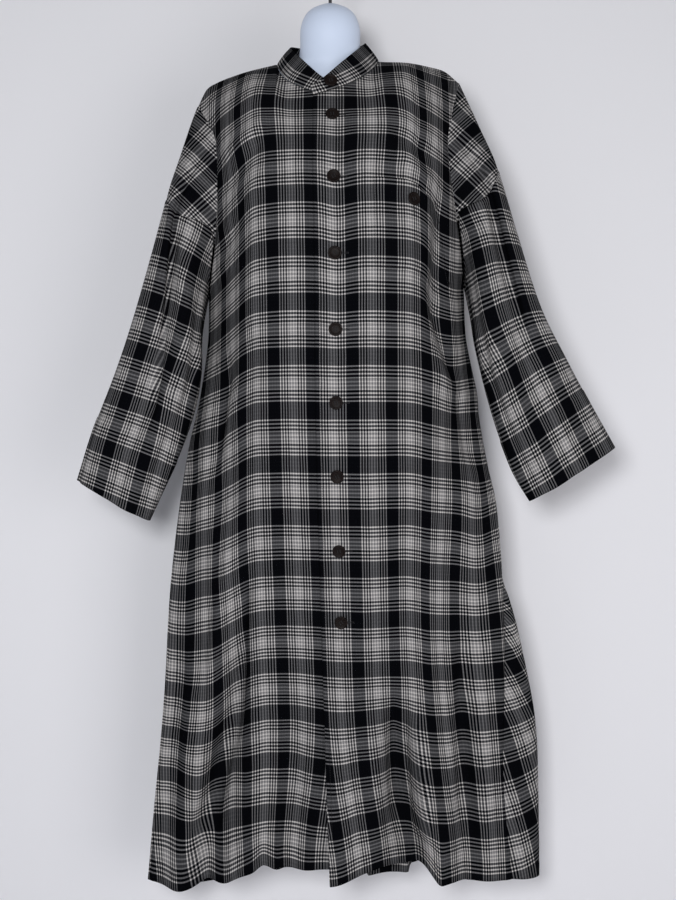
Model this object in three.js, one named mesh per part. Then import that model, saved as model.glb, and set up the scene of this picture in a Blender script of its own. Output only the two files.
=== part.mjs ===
import * as THREE from 'three';

/*
 * Maxi shirt with a band collar, worn by a limbless torso form that hangs from a hook.
 *
 * Millimetres, +Z up. The front of the shirt faces -Y and the wearer's left side is at +X.
 * Heights in the tables are measured up from the level of the hem. The finished pieces are
 * moved by HOOK_HEIGHT and HOOK_Y, so the origin is where the hook hangs from its rail.
 */

// ---------------------------------------------------------------- driving dimensions

const HOOK_HEIGHT = 1447;
const HOOK_Y = 4;
const HEM_LEVEL = 34;
const CHEST_LEVEL = 1096;
const WALL = 1.6;
const SEAM_GAP = 0.3;
const PLACKET = 30;
const LAYER_STEP = 2.6;

const HEM_ROWS = 20;
const ARMHOLE_ROWS = 5;
const YOKE_ROWS = 6;
const NECK_COLUMNS = 8;
const SHOULDER_COLUMNS = 8;
const BACK_NECK_COLUMNS = 12;
const SLEEVE_ROWS = 11;
const DROP_ROWS = 4;
const DROP_COLUMNS = 7;
const DROP_REACH = 0.26;
const DROP_ROUNDNESS = 2.3;

const BUTTON = { radius: 10, thickness: 3.2, rim: 1.8, dish: 0.9, segments: 14 };
const BUTTON_HEIGHTS = [1177, 1080, 968, 858, 752, 644, 532, 422];
const POCKET = { left: 62, right: 166, bottom: 945, top: 1080 };
const POCKET_LIFT = 2.4;
const POCKET_BUTTON = { x: 121, h: 1050 };
const COLLAR_BUTTON = { x: 1, row: 1, shank: 0.2 };
const COLLAR_ROWS = 2;

const FORM_CLOTH = 0xdfe3ee;
const STEEL = 0x4a4c52;
const CHECK_CLOTH = 0x5c5a5e;
const HORN = 0x2a2320;

// ---------------------------------------------------------------- tables

function table(columns, rows) {
  return rows.map((row) => Object.fromEntries(columns.map((name, k) => [name, row[k]])));
}

// Side seams up to the underarm, one row per height; x is the distance from the middle.
const SEAM_COLUMNS = ['h', 'x', 'y'];
const RIGHT_SEAM = table(SEAM_COLUMNS, [
  [-40, 293, 48],
  [0, 291, 48],
  [120, 281, 47],
  [220, 271, 45],
  [320, 263, 43],
  [446, 256, 40],
  [545, 246, 37],
  [645, 232, 34],
  [700, 222, 32],
  [760, 207, 28],
  [850, 193, 22],
  [915, 191, 20],
]);
const LEFT_SEAM = table(SEAM_COLUMNS, [
  [-40, 290, 30],
  [0, 288, 30],
  [165, 274, 30],
  [320, 276, 32],
  [446, 275, 36],
  [600, 263, 36],
  [657, 250, 34],
  [735, 236, 32],
  [771, 233, 30],
  [810, 224, 27],
  [860, 214, 23],
  [925, 211, 20],
]);

// Armhole seams from the underarm to the end of the shoulder seam, one row per height. The
// front panel ends on xFront, yFront and the back panel on xBack, yBack.
const ARMHOLE_COLUMNS = ['h', 'xFront', 'yFront', 'xBack', 'yBack'];
const RIGHT_ARMHOLE = table(ARMHOLE_COLUMNS, [
  [915, 191, 20, 191, 20],
  [950, 185, -4, 184, 44],
  [1000, 178, -18, 178, 60],
  [1065, 173, -28, 175, 66],
  [1115, 172, -30, 175, 60],
  [1160, 176, -24, 181, 44],
  [1190, 190, -12, 192, 24],
  [1214, 205, 3, 205, 3],
]);
const LEFT_ARMHOLE = table(ARMHOLE_COLUMNS, [
  [925, 211, 20, 211, 20],
  [960, 207, 0, 206, 44],
  [1005, 201, -14, 198, 60],
  [1065, 190, -26, 190, 66],
  [1115, 182, -30, 184, 62],
  [1160, 180, -25, 184, 50],
  [1205, 188, -12, 191, 28],
  [1251, 199, 4, 199, 4],
]);

// Middle of the front and of the back, one row per height. The buttoning line leans towards
// the wearer's left below the waist, and the front falls back from the chest to the hem.
// A high exponent makes a flat middle with quickly turning sides.
const MIDDLE = table(['h', 'buttonX', 'yFront', 'frontPower', 'yBack', 'backPower'], [
  [-40, 34, 6, 2.2, 94, 2.4],
  [0, 31, 4, 2.2, 94, 2.4],
  [120, 26, 0, 2.2, 94, 2.4],
  [300, 20, -14, 2.3, 93, 2.4],
  [480, 15, -46, 2.5, 91, 2.5],
  [640, 11, -84, 2.8, 88, 2.7],
  [760, 9, -106, 3.0, 86, 2.9],
  [900, 8, -117, 3.2, 88, 3.0],
  [1010, 7, -118, 3.2, 92, 3.0],
  [1100, 5, -108, 3.2, 92, 3.0],
  [1160, 4, -90, 3.2, 88, 3.0],
  [1220, 3, -66, 3.2, 80, 3.0],
]);

// How far a level thread of the cloth hangs below its middle, by the distance from the middle.
const RIGHT_DROP = table(['x', 'drop'], [
  [0, 0],
  [108, 0],
  [128, 4],
  [160, 18],
  [190, 31],
  [220, 39],
  [250, 38],
  [291, 31],
]);
const LEFT_DROP = table(['x', 'drop'], [
  [0, 0],
  [105, 0],
  [122, 4],
  [145, 17],
  [180, 25],
  [217, 26],
  [290, 25],
]);

// How strongly a thread hangs at its sides, by its level.
const DROP_SHARES = table(['level', 'right', 'left'], [
  [34, 1, 1],
  [120, 0.45, 0.8],
  [200, 0.5, 0.5],
  [330, 1.05, 0.35],
  [700, 1.2, 0.35],
  [830, 1.3, 0.4],
  [920, 1.55, 0.8],
  [1000, 1.85, 1.15],
  [1096, 1.85, 1.4],
]);

// Seam of the collar band and its top edge, by the turn round the neck from the middle of the
// front. The right half runs underneath the left half as far as OVERLAP_TURN.
const NECK_TABLE_COLUMNS = ['turn', 'x', 'y', 'h'];
const RIGHT_NECKLINE = table(NECK_TABLE_COLUMNS, [
  [-180, 0, 62, 1284],
  [-135, -60, 44, 1284],
  [-90, -82, 2, 1279],
  [-50, -66, -38, 1244],
  [-24, -32, -58, 1223],
  [0, -4, -64, 1216],
  [22, 22, -60, 1219],
]);
const LEFT_NECKLINE = table(NECK_TABLE_COLUMNS, [
  [-22, -25, -64, 1213],
  [0, 2, -63, 1221],
  [24, 27, -56, 1232],
  [50, 54, -36, 1252],
  [90, 75, 2, 1284],
  [135, 55, 44, 1287],
  [180, 0, 62, 1284],
]);
const RIGHT_COLLAR_TOP = table(NECK_TABLE_COLUMNS, [
  [-180, 0, 60, 1320],
  [-135, -46, 44, 1318],
  [-90, -62, 12, 1308],
  [-50, -42, -38, 1274],
  [-24, -16, -52, 1247],
  [0, 3, -54, 1234],
  [22, 18, -52, 1230],
]);
const LEFT_COLLAR_TOP = table(NECK_TABLE_COLUMNS, [
  [-22, -28, -63, 1226],
  [0, -10, -58, 1240],
  [24, 7, -53, 1256],
  [50, 29, -43, 1278],
  [90, 54, 9, 1314],
  [135, 43, 44, 1320],
  [180, 0, 60, 1320],
]);
const OVERLAP_TURN = 22;

// Shoulder seam from the side of the neck to the top of the armhole.
const RIGHT_SHOULDER = table(['share', 'x', 'y', 'h'], [
  [0, -82, 2, 1280],
  [0.28, -118, 5, 1271],
  [0.52, -149, 6, 1262],
  [0.74, -176, 6, 1252],
  [0.88, -192, 5, 1241],
  [1, -205, 3, 1214],
]);
const LEFT_SHOULDER = table(['share', 'x', 'y', 'h'], [
  [0, 75, 2, 1284],
  [0.34, 117, 5, 1282],
  [0.6, 151, 6, 1277],
  [0.82, 177, 6, 1270],
  [1, 199, 4, 1251],
]);

// Largest folds of the panels. A fold runs from (xTop, top) down to (xEnd, end); before and
// after are its reach towards -X and +X, and a positive depth stands out from the body.
const FOLD_COLUMNS = ['xTop', 'top', 'xEnd', 'end', 'before', 'after', 'depth'];
const FRONT_FOLDS = table(FOLD_COLUMNS, [
  [-150, 900, -178, 500, 34, 34, -11],
  [-128, 420, -205, -40, 34, 44, -19],
  [-100, 640, -112, -40, 46, 40, 9],
  [-165, 620, -238, -40, 48, 40, 12],
  [-50, 380, -60, -40, 40, 36, -9],
  [104, 420, 118, -40, 62, 26, -30],
  [140, 420, 160, -40, 26, 60, 16],
  [205, 560, 214, -40, 34, 40, -14],
  [160, 1090, 166, 780, 30, 30, -11],
]);
const BACK_FOLDS = table(FOLD_COLUMNS, [
  [-190, 700, -215, -40, 46, 46, 12],
  [-120, 620, -138, -40, 44, 50, -15],
  [-58, 760, -60, -40, 40, 44, 9],
  [15, 520, 10, -40, 44, 40, -13],
  [80, 700, 90, -40, 46, 46, 12],
  [150, 560, 165, -40, 44, 44, -15],
  [228, 470, 262, -40, 60, 90, 30],
]);

// Below the hip the back rolls forward past the left side seam: how far it stands out beside
// the seam, one row per height, and how much of the half back takes part.
const LEFT_ROLL = table(['h', 'out'], [
  [0, 60],
  [100, 68],
  [210, 72],
  [320, 60],
  [400, 40],
  [446, 22],
  [500, 0],
]);
const ROLL_SHARE = 0.42;

// The back hangs lower than the side seams: how much in its middle, and below which height.
const BACK_HEM = { lower: 20, top: 260 };

// The free corner of the top layer swings forward and hangs lower below the last button.
const FLAP = { top: 400, reach: 100, forward: 16, lower: 22 };

// Sleeve sections from the armhole to the cuff: outer and inner end of each section in the
// plane x, h, the middle of its depth and its half depth.
const SLEEVE_COLUMNS = ['t', 'xOut', 'hOut', 'xIn', 'hIn', 'yMid', 'depth'];
const RIGHT_SLEEVE = table(SLEEVE_COLUMNS, [
  [0, -205, 1214, -191, 915, 18, 46],
  [0.08, -224, 1172, -197, 894, 16, 56],
  [0.17, -239, 1122, -199, 870, 10, 60],
  [0.27, -254, 1064, -199, 842, 2, 56],
  [0.4, -275, 980, -198, 806, -8, 50],
  [0.55, -301, 885, -206, 752, -14, 46],
  [0.7, -334, 790, -226, 689, -13, 41],
  [0.85, -364, 712, -252, 630, -10, 36],
  [1, -388, 637, -279, 575, -8, 30],
]);
const LEFT_SLEEVE = table(SLEEVE_COLUMNS, [
  [0, 199, 1251, 211, 925, 18, 46],
  [0.08, 221, 1208, 217, 903, 16, 56],
  [0.17, 240, 1165, 220, 880, 10, 60],
  [0.27, 260, 1110, 222, 852, 2, 56],
  [0.4, 284, 1024, 228, 818, -8, 50],
  [0.55, 321, 905, 240, 767, -14, 46],
  [0.7, 363, 822, 259, 705, -13, 41],
  [0.85, 401, 750, 281, 648, -10, 36],
  [1, 437, 687, 307, 605, -8, 30],
]);

// Lengthwise folds of a sleeve: where they lie round it in degrees (0 outer edge, 90 front,
// 180 inner edge), the stretch of the sleeve they take up, their half width and depth.
const SLEEVE_FOLD_COLUMNS = ['angle', 'angleEnd', 'from', 'to', 'width', 'depth'];
const RIGHT_SLEEVE_FOLDS = table(SLEEVE_FOLD_COLUMNS, [
  [70, 84, 0.1, 0.85, 26, -17],
  [118, 112, 0.3, 1.1, 26, 7],
  [262, 250, 0.15, 0.9, 30, -14],
]);
const LEFT_SLEEVE_FOLDS = table(SLEEVE_FOLD_COLUMNS, [
  [60, 88, 0.08, 0.8, 26, -14],
  [128, 112, 0.35, 1.1, 28, 6],
  [268, 255, 0.15, 0.95, 30, -14],
]);

// Torso form, one row per height: half widths to the wearer's right and left, front, back, and
// how far the throat stands forward in the middle.
const FORM = table(['h', 'right', 'left', 'yFront', 'yBack', 'power', 'throat'], [
  [640, 136, 138, -58, 66, 2.3, 0],
  [700, 140, 142, -66, 70, 2.3, 0],
  [780, 134, 136, -74, 68, 2.3, 0],
  [860, 138, 142, -86, 70, 2.3, 0],
  [940, 146, 158, -96, 76, 2.3, 0],
  [1020, 154, 168, -100, 82, 2.3, 0],
  [1090, 160, 172, -95, 84, 2.3, 0],
  [1150, 166, 174, -78, 76, 2.4, 0],
  [1190, 172, 178, -60, 64, 2.4, 0],
  [1217, 172, 180, -42, 50, 2.3, 2],
  [1240, 158, 172, -30, 38, 2.2, 7],
  [1255.4, 134, 158, -24, 32, 2.1, 13],
  [1265.4, 106, 128, -18, 26, 2, 19],
  [1272.4, 76, 84, -20, 24, 2, 17],
  [1278, 54, 56, -32, 30, 2, 5],
  [1300, 47, 47, -36, 38, 2, 0],
  [1332, 46, 46, -36, 40, 2, 0],
  [1352, 40, 40, -30, 36, 2, 0],
  [1364, 29, 29, -19, 26, 2, 0],
  [1371, 13, 13, -7, 14, 2, 0],
]);
const FORM_SEGMENTS = 30;
const THROAT_REACH = 42;

const HOOK = { wire: 2.6, crook: 17, foot: 1371.4, lead: 18, openEnd: 202, segments: 8, steps: 20 };

// ---------------------------------------------------------------- small helpers

function ease(t) {
  const c = THREE.MathUtils.clamp(t, 0, 1);
  return c * c * (3 - 2 * c);
}

// Smooth curve through column key of a table whose rows rise in column by.
function along(rows, by, key, at) {
  const last = rows.length - 1;
  if (at <= rows[0][by]) return rows[0][key];
  if (at >= rows[last][by]) return rows[last][key];
  let i = 0;
  while (at > rows[i + 1][by]) i += 1;
  const slope = (k) => {
    const a = rows[Math.max(k - 1, 0)];
    const b = rows[Math.min(k + 1, last)];
    return (b[key] - a[key]) / (b[by] - a[by]);
  };
  const span = rows[i + 1][by] - rows[i][by];
  const t = (at - rows[i][by]) / span;
  const rise = rows[i + 1][key] - rows[i][key];
  const start = slope(i) * span;
  const end = slope(i + 1) * span;
  return rows[i][key] + t * (start + t * (3 * rise - 2 * start - end + t * (start + end - 2 * rise)));
}

function pointOn(rows, by, at) {
  return new THREE.Vector3(along(rows, by, 'x', at), along(rows, by, 'y', at), along(rows, by, 'h', at));
}

// Parameters that divide a curve into the given number of equally long steps.
function evenSteps(curve, count) {
  const samples = 48;
  const points = [];
  for (let k = 0; k <= samples; k += 1) points.push(curve(k / samples));
  const lengths = [0];
  for (let k = 1; k <= samples; k += 1) lengths.push(lengths[k - 1] + points[k].distanceTo(points[k - 1]));
  return Array.from({ length: count + 1 }, (_, i) => {
    const target = (i / count) * lengths[samples];
    let k = 0;
    while (k < samples - 1 && lengths[k + 1] < target) k += 1;
    return (k + (target - lengths[k]) / (lengths[k + 1] - lengths[k])) / samples;
  });
}

function spread(curve, count) {
  return evenSteps(curve, count).map(curve);
}

// ---------------------------------------------------------------- the worn surface

const SIDES = {
  right: {
    sign: -1, seam: RIGHT_SEAM, armhole: RIGHT_ARMHOLE, shoulder: RIGHT_SHOULDER, drops: RIGHT_DROP,
    shareKey: 'right', neckline: RIGHT_NECKLINE, collarTop: RIGHT_COLLAR_TOP, underarm: 915, tip: 1214,
  },
  left: {
    sign: 1, seam: LEFT_SEAM, armhole: LEFT_ARMHOLE, shoulder: LEFT_SHOULDER, drops: LEFT_DROP,
    shareKey: 'left', neckline: LEFT_NECKLINE, collarTop: LEFT_COLLAR_TOP, underarm: 925, tip: 1251,
  },
};

function dropAt(side, level, x) {
  return along(side.drops, 'x', 'drop', Math.abs(x)) * along(DROP_SHARES, 'level', side.shareKey, level);
}

function edgePoint(side, face, h) {
  const rows = h <= side.underarm ? side.seam : side.armhole;
  const [xKey, yKey] = h <= side.underarm ? ['x', 'y'] : face === 'front' ? ['xFront', 'yFront'] : ['xBack', 'yBack'];
  return new THREE.Vector3(side.sign * along(rows, 'h', xKey, h), along(rows, 'h', yKey, h), h);
}

// Height at which the thread of a level reaches the side.
function edgeHeight(side, level) {
  let h = level;
  for (let pass = 0; pass < 30; pass += 1) h = level - dropAt(side, level, edgePoint(side, 'front', h).x);
  return h;
}

// Point of the body at a level of the cloth and a place across it, before folds.
function bodyPoint(side, face, level, x) {
  const edge = edgePoint(side, face, edgeHeight(side, level));
  const middleX = face === 'front' ? along(MIDDLE, 'h', 'buttonX', level) : 0;
  const middleY = along(MIDDLE, 'h', face === 'front' ? 'yFront' : 'yBack', level);
  const power = along(MIDDLE, 'h', face === 'front' ? 'frontPower' : 'backPower', level);
  const share = THREE.MathUtils.clamp(Math.abs((x - middleX) / (edge.x - middleX)), 0, 1);
  const y = edge.y + (middleY - edge.y) * (1 - share ** power);
  return new THREE.Vector3(x, y, level - dropAt(side, level, share * edge.x));
}

function foldDepth(folds, x, h) {
  let depth = 0;
  for (const fold of folds) {
    const run = THREE.MathUtils.clamp((fold.top - h) / (fold.top - fold.end), 0, 1);
    const offset = x - THREE.MathUtils.lerp(fold.xTop, fold.xEnd, run);
    const reach = offset < 0 ? fold.before : fold.after;
    const across = Math.min(Math.abs(offset) / reach, 1);
    const fadeOut = fold.end > 0 ? ease((1 - run) / 0.35) : 1;
    depth += fold.depth * 0.5 * (1 + Math.cos(Math.PI * across)) * ease(run / 0.55) * fadeOut;
  }
  return depth;
}

// Levels of the rows of a panel up to the chest: the row ROW_OF_UNDERARM ends on the underarm.
function rowLevels(side) {
  const underarmX = edgePoint(side, 'front', side.underarm).x;
  let underarmLevel = side.underarm;
  for (let pass = 0; pass < 30; pass += 1) underarmLevel = side.underarm + dropAt(side, underarmLevel, underarmX);
  const levels = [];
  for (let j = 0; j <= HEM_ROWS; j += 1) {
    levels.push(THREE.MathUtils.lerp(HEM_LEVEL, underarmLevel, j / HEM_ROWS));
  }
  for (let j = 1; j <= ARMHOLE_ROWS; j += 1) {
    levels.push(THREE.MathUtils.lerp(underarmLevel, CHEST_LEVEL, j / ARMHOLE_ROWS));
  }
  return levels;
}

// Direction in which a panel runs up to its top edge: steep at the neck, level over the
// shoulder. The column counts from the side of the neck, in shoulder columns.
function arrival(face, column, turn) {
  const [toBack, atMiddle, atSide] = face === 'front' ? [1, 26, 58] : [-1, 20, 74];
  const atNeck = THREE.MathUtils.lerp(atMiddle, atSide, Math.min(Math.abs(turn) / 90, 1) ** 2);
  const lean = column > 0 ? THREE.MathUtils.lerp(atSide, 82, ease(column / 3)) : atNeck;
  const angle = THREE.MathUtils.degToRad(lean);
  return new THREE.Vector3(0, toBack * Math.sin(angle), Math.cos(angle));
}

// Turns round the neck that divide a stretch of the neckline into equally long steps.
function neckTurns(side, from, to, count) {
  const turnAt = (q) => THREE.MathUtils.lerp(from, to, q);
  return evenSteps((q) => pointOn(side.neckline, 'turn', turnAt(q)), count).map(turnAt);
}

// Half a panel from its middle edge to its side: a grid of columns, each a list of points
// from the hem up to the neckline or the shoulder seam.
function halfPanel(side, face, neckColumns, startTurn) {
  const count = neckColumns + SHOULDER_COLUMNS;
  const middle = face === 'front' ? (level) => along(MIDDLE, 'h', 'buttonX', level) - side.sign * PLACKET : () => 0;
  const rows = rowLevels(side).map((level) => {
    const end = edgePoint(side, face, edgeHeight(side, level));
    const start = middle(level);
    return spread((q) => bodyPoint(side, face, level, THREE.MathUtils.lerp(start, end.x, q)), count);
  });

  const endTurn = 90 * side.sign;
  const turns = neckTurns(side, startTurn, endTurn, neckColumns);
  const neck = turns.map((turn) => pointOn(side.neckline, 'turn', turn));
  const seam = spread((q) => pointOn(side.shoulder, 'share', q), SHOULDER_COLUMNS);
  const top = neck.concat(seam.slice(1));

  const chest = rows[rows.length - 1];
  const below = rows[rows.length - 2];
  const chestSide = chest[count];
  const columns = chest.map((_, i) => rows.map((row) => row[i].clone()));
  for (let j = 1; j <= YOKE_ROWS; j += 1) {
    const t = j / YOKE_ROWS;
    const rowPoints = top.map((end, i) => {
      const start = chest[i];
      const reach = 0.4 * start.distanceTo(end);
      const climb = start.clone().sub(below[i]).normalize().multiplyScalar(reach);
      const fromMiddle = face === 'front' ? turns[i] : 180 - Math.abs(turns[i]);
      const land = arrival(face, i - neckColumns, i < turns.length ? fromMiddle : 90).multiplyScalar(reach);
      const curve = new THREE.CubicBezierCurve3(start, start.clone().add(climb), end.clone().sub(land), end);
      return curve.getPoint(t);
    });
    const edgeHeight = THREE.MathUtils.lerp(chestSide.z, side.tip, t);
    const pull = edgePoint(side, face, edgeHeight).sub(rowPoints[count]);
    rowPoints.forEach((point, i) => {
      const weight = Math.max((i - neckColumns) / SHOULDER_COLUMNS, 0) ** 2;
      columns[i].push(point.clone().addScaledVector(pull, j === YOKE_ROWS ? 0 : weight));
    });
  }
  return columns;
}

// ---------------------------------------------------------------- walls

// Outward directions of a grid of columns, from the points around each point.
function gridNormals(grid, closed, flip) {
  const columns = grid.length;
  const rows = grid[0].length;
  return grid.map((column, i) => column.map((_, j) => {
    const before = closed ? (i - 1 + columns) % columns : Math.max(i - 1, 0);
    const after = closed ? (i + 1) % columns : Math.min(i + 1, columns - 1);
    const across = grid[after][j].clone().sub(grid[before][j]);
    const up = grid[i][Math.min(j + 1, rows - 1)].clone().sub(grid[i][Math.max(j - 1, 0)]);
    return across.cross(up).normalize().multiplyScalar(flip ? -1 : 1);
  }));
}

// Outward direction shared by all panels along their seams.
function seamDirection(point) {
  const spine = new THREE.Vector3(point.x * 0.6, 32, Math.min(point.z, 1190));
  return point.clone().sub(spine).normalize();
}

// A sheet is a list of points with an outward direction each, and faces of three or four
// points that turn counter-clockwise as seen from outside.
function gridSheet(grid, directions, closed, flip) {
  const columns = grid.length;
  const rows = grid[0].length;
  const faces = [];
  for (let i = 0; i < (closed ? columns : columns - 1); i += 1) {
    for (let j = 0; j < rows - 1; j += 1) {
      const a = i * rows + j;
      const b = ((i + 1) % columns) * rows + j;
      faces.push(flip ? [a, a + 1, b + 1, b] : [a, b, b + 1, a + 1]);
    }
  }
  return { points: grid.flat(), directions: directions.flat(), faces };
}

// Closed wall on a sheet: every point is moved out and in by half the wall, and the free
// edges are bridged.
function wall(sheet) {
  const { points, directions, faces } = sheet;
  const positions = [];
  for (const half of [WALL / 2, -WALL / 2]) {
    points.forEach((point, n) => {
      const p = point.clone().addScaledVector(directions[n], half);
      positions.push(p.x, p.y, p.z);
    });
  }
  const inner = points.length;
  const index = [];
  const edges = new Set();
  for (const face of faces) {
    for (let k = 1; k < face.length - 1; k += 1) {
      index.push(face[0], face[k], face[k + 1]);
      index.push(inner + face[0], inner + face[k + 1], inner + face[k]);
    }
    face.forEach((a, k) => edges.add(`${a} ${face[(k + 1) % face.length]}`));
  }
  for (const edge of edges) {
    const [a, b] = edge.split(' ').map(Number);
    if (!edges.has(`${b} ${a}`)) index.push(b, a, inner + a, b, inner + a, inner + b);
  }
  const geometry = new THREE.BufferGeometry();
  geometry.setAttribute('position', new THREE.Float32BufferAttribute(positions, 3));
  geometry.setIndex(index);
  geometry.computeVertexNormals();
  return geometry;
}

function named(name, geometry, color, roughness, metalness = 0) {
  geometry.translate(0, -HOOK_Y, -HOOK_HEIGHT);
  const mesh = new THREE.Mesh(geometry, new THREE.MeshStandardMaterial({ color, roughness, metalness }));
  mesh.name = name;
  return mesh;
}

// Moves a point towards another by half the seam gap, or by that many halves.
function towards(point, other, halves = 1) {
  point.addScaledVector(other.clone().sub(point).normalize(), (SEAM_GAP / 2 + 0.05) * halves);
}

// ---------------------------------------------------------------- panels

function seamMask(i, count, j, rows) {
  const fromSide = (count - i) / count;
  const fromTop = (rows - 1 - j) / rows;
  return ease(fromSide / 0.14) * ease(fromTop / 0.2);
}

// Moves the points of a panel out by the folds, fading at the side, shoulder and neck seams.
function foldPanel(columns, folds, outward, maskAt) {
  columns.forEach((column, i) => column.forEach((point, j) => {
    const depth = foldDepth(folds, point.x, point.z) * maskAt(i, j);
    point.addScaledVector(outward[i][j], depth);
  }));
}

function frontGrid(side, onTop) {
  const grid = halfPanel(side, 'front', NECK_COLUMNS, -side.sign * OVERLAP_TURN);
  const flip = side.sign < 0;
  const count = grid.length - 1;
  const rows = grid[0].length;
  const outward = gridNormals(grid, false, flip);
  foldPanel(grid, FRONT_FOLDS, outward, (i, j) => seamMask(i, count, j, rows));
  if (!onTop) return grid;
  grid.forEach((column) => column.forEach((point, j) => {
    const past = point.x - along(MIDDLE, 'h', 'buttonX', point.z);
    const lift = LAYER_STEP * (1 - ease((past - PLACKET - 6) / 40));
    const open = ease((FLAP.top - point.z) / FLAP.top) * (1 - ease((past + PLACKET) / FLAP.reach));
    point.y -= lift + FLAP.forward * open;
    point.z -= j < HEM_ROWS ? FLAP.lower * open * open : 0;
  }));
  return grid;
}

function backGrid() {
  const neckHalf = BACK_NECK_COLUMNS / 2;
  const right = halfPanel(SIDES.right, 'back', neckHalf, -180);
  const left = halfPanel(SIDES.left, 'back', neckHalf, 180);
  right[0].forEach((point, j) => point.lerp(left[0][j], 0.5));
  const grid = left.reverse().concat(right.slice(1));
  const middle = left.length - 1;
  grid[middle] = right[0];
  const rows = grid[0].length;
  const count = neckHalf + SHOULDER_COLUMNS;
  const outward = gridNormals(grid, false, false);
  foldPanel(grid, BACK_FOLDS, outward, (i, j) => seamMask(Math.abs(i - middle), count, j, rows));
  grid.forEach((column, i) => column.forEach((point) => {
    const aside = Math.abs(i - middle) / middle;
    point.z -= BACK_HEM.lower * ease((BACK_HEM.top - point.z) / BACK_HEM.top) * (1 - aside ** 3);
  }));
  for (let i = 0; i < middle; i += 1) {
    const share = i / (ROLL_SHARE * middle);
    const swell = share < 1 ? Math.sin(Math.PI * share ** 0.72) : 0;
    grid[i].forEach((point) => {
      point.x += swell * along(LEFT_ROLL, 'h', 'out', point.z);
    });
  }
  return grid;
}

// A panel's sheet is its grid with, on each worn side, the dropped shoulder that covers the
// top of the arm: ends lists the arm and the column numbers of its half, from the shoulder.
function panelSheet(grid, flip, ends) {
  const rows = grid[0].length;
  const top = rows - 1;
  const points = grid.map((column) => column.map((point) => point.clone()));
  const directions = gridNormals(grid, false, flip);
  grid.forEach((column, i) => directions[i][top].copy(seamDirection(column[top])));
  for (const { at, inside, arm, half } of ends) {
    for (let j = 0; j <= top - DROP_COLUMNS; j += 1) {
      directions[at][j].copy(seamDirection(grid[at][j]));
      towards(points[at][j], grid[inside][j]);
    }
    for (let c = 1; c < DROP_COLUMNS; c += 1) {
      const joint = directions[at][top - c];
      joint.add(arm.directions[half[c]][SLEEVE_ROWS + DROP_ROWS]).normalize();
    }
  }
  points.forEach((column, i) => towards(column[top], grid[i][top - 1]));

  const sheet = gridSheet(points, directions, false, flip);
  for (const { at, arm, half, turn } of ends) {
    const numbers = half.map((m, c) => {
      const joint = at * rows + top - c;
      const column = new Array(DROP_ROWS + 1).fill(joint);
      if (c === DROP_COLUMNS) return column;
      for (let k = 0; k < DROP_ROWS; k += 1) {
        const row = SLEEVE_ROWS + k;
        const point = arm.grid[m][row].clone();
        if (k === 0) towards(point, arm.grid[m][row + 1]);
        if (c === 0) towards(point, arm.grid[half[2]][row], 3);
        column[k] = sheet.points.push(point) - 1;
        sheet.directions.push(arm.directions[m][row]);
      }
      return column;
    });
    for (let c = 0; c < DROP_COLUMNS; c += 1) {
      for (let k = 0; k < DROP_ROWS; k += 1) {
        const corners = [numbers[c][k], numbers[c + 1][k], numbers[c + 1][k + 1], numbers[c][k + 1]];
        const face = corners.filter((n, q) => corners.indexOf(n) === q);
        if (face.length > 2) sheet.faces.push(turn ? face.reverse() : face);
      }
    }
  }
  return sheet;
}

// ---------------------------------------------------------------- arms

// Points of the armhole from the shoulder down the front to the underarm and up the back.
function armhole(side) {
  const last = NECK_COLUMNS + SHOULDER_COLUMNS;
  const front = halfPanel(side, 'front', NECK_COLUMNS, -side.sign * OVERLAP_TURN)[last];
  const back = halfPanel(side, 'back', BACK_NECK_COLUMNS / 2, 180 * side.sign);
  const backEdge = back[back.length - 1];
  const down = front.slice(HEM_ROWS).reverse();
  const up = backEdge.slice(HEM_ROWS + 1, -1);
  return down.concat(up);
}

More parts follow.
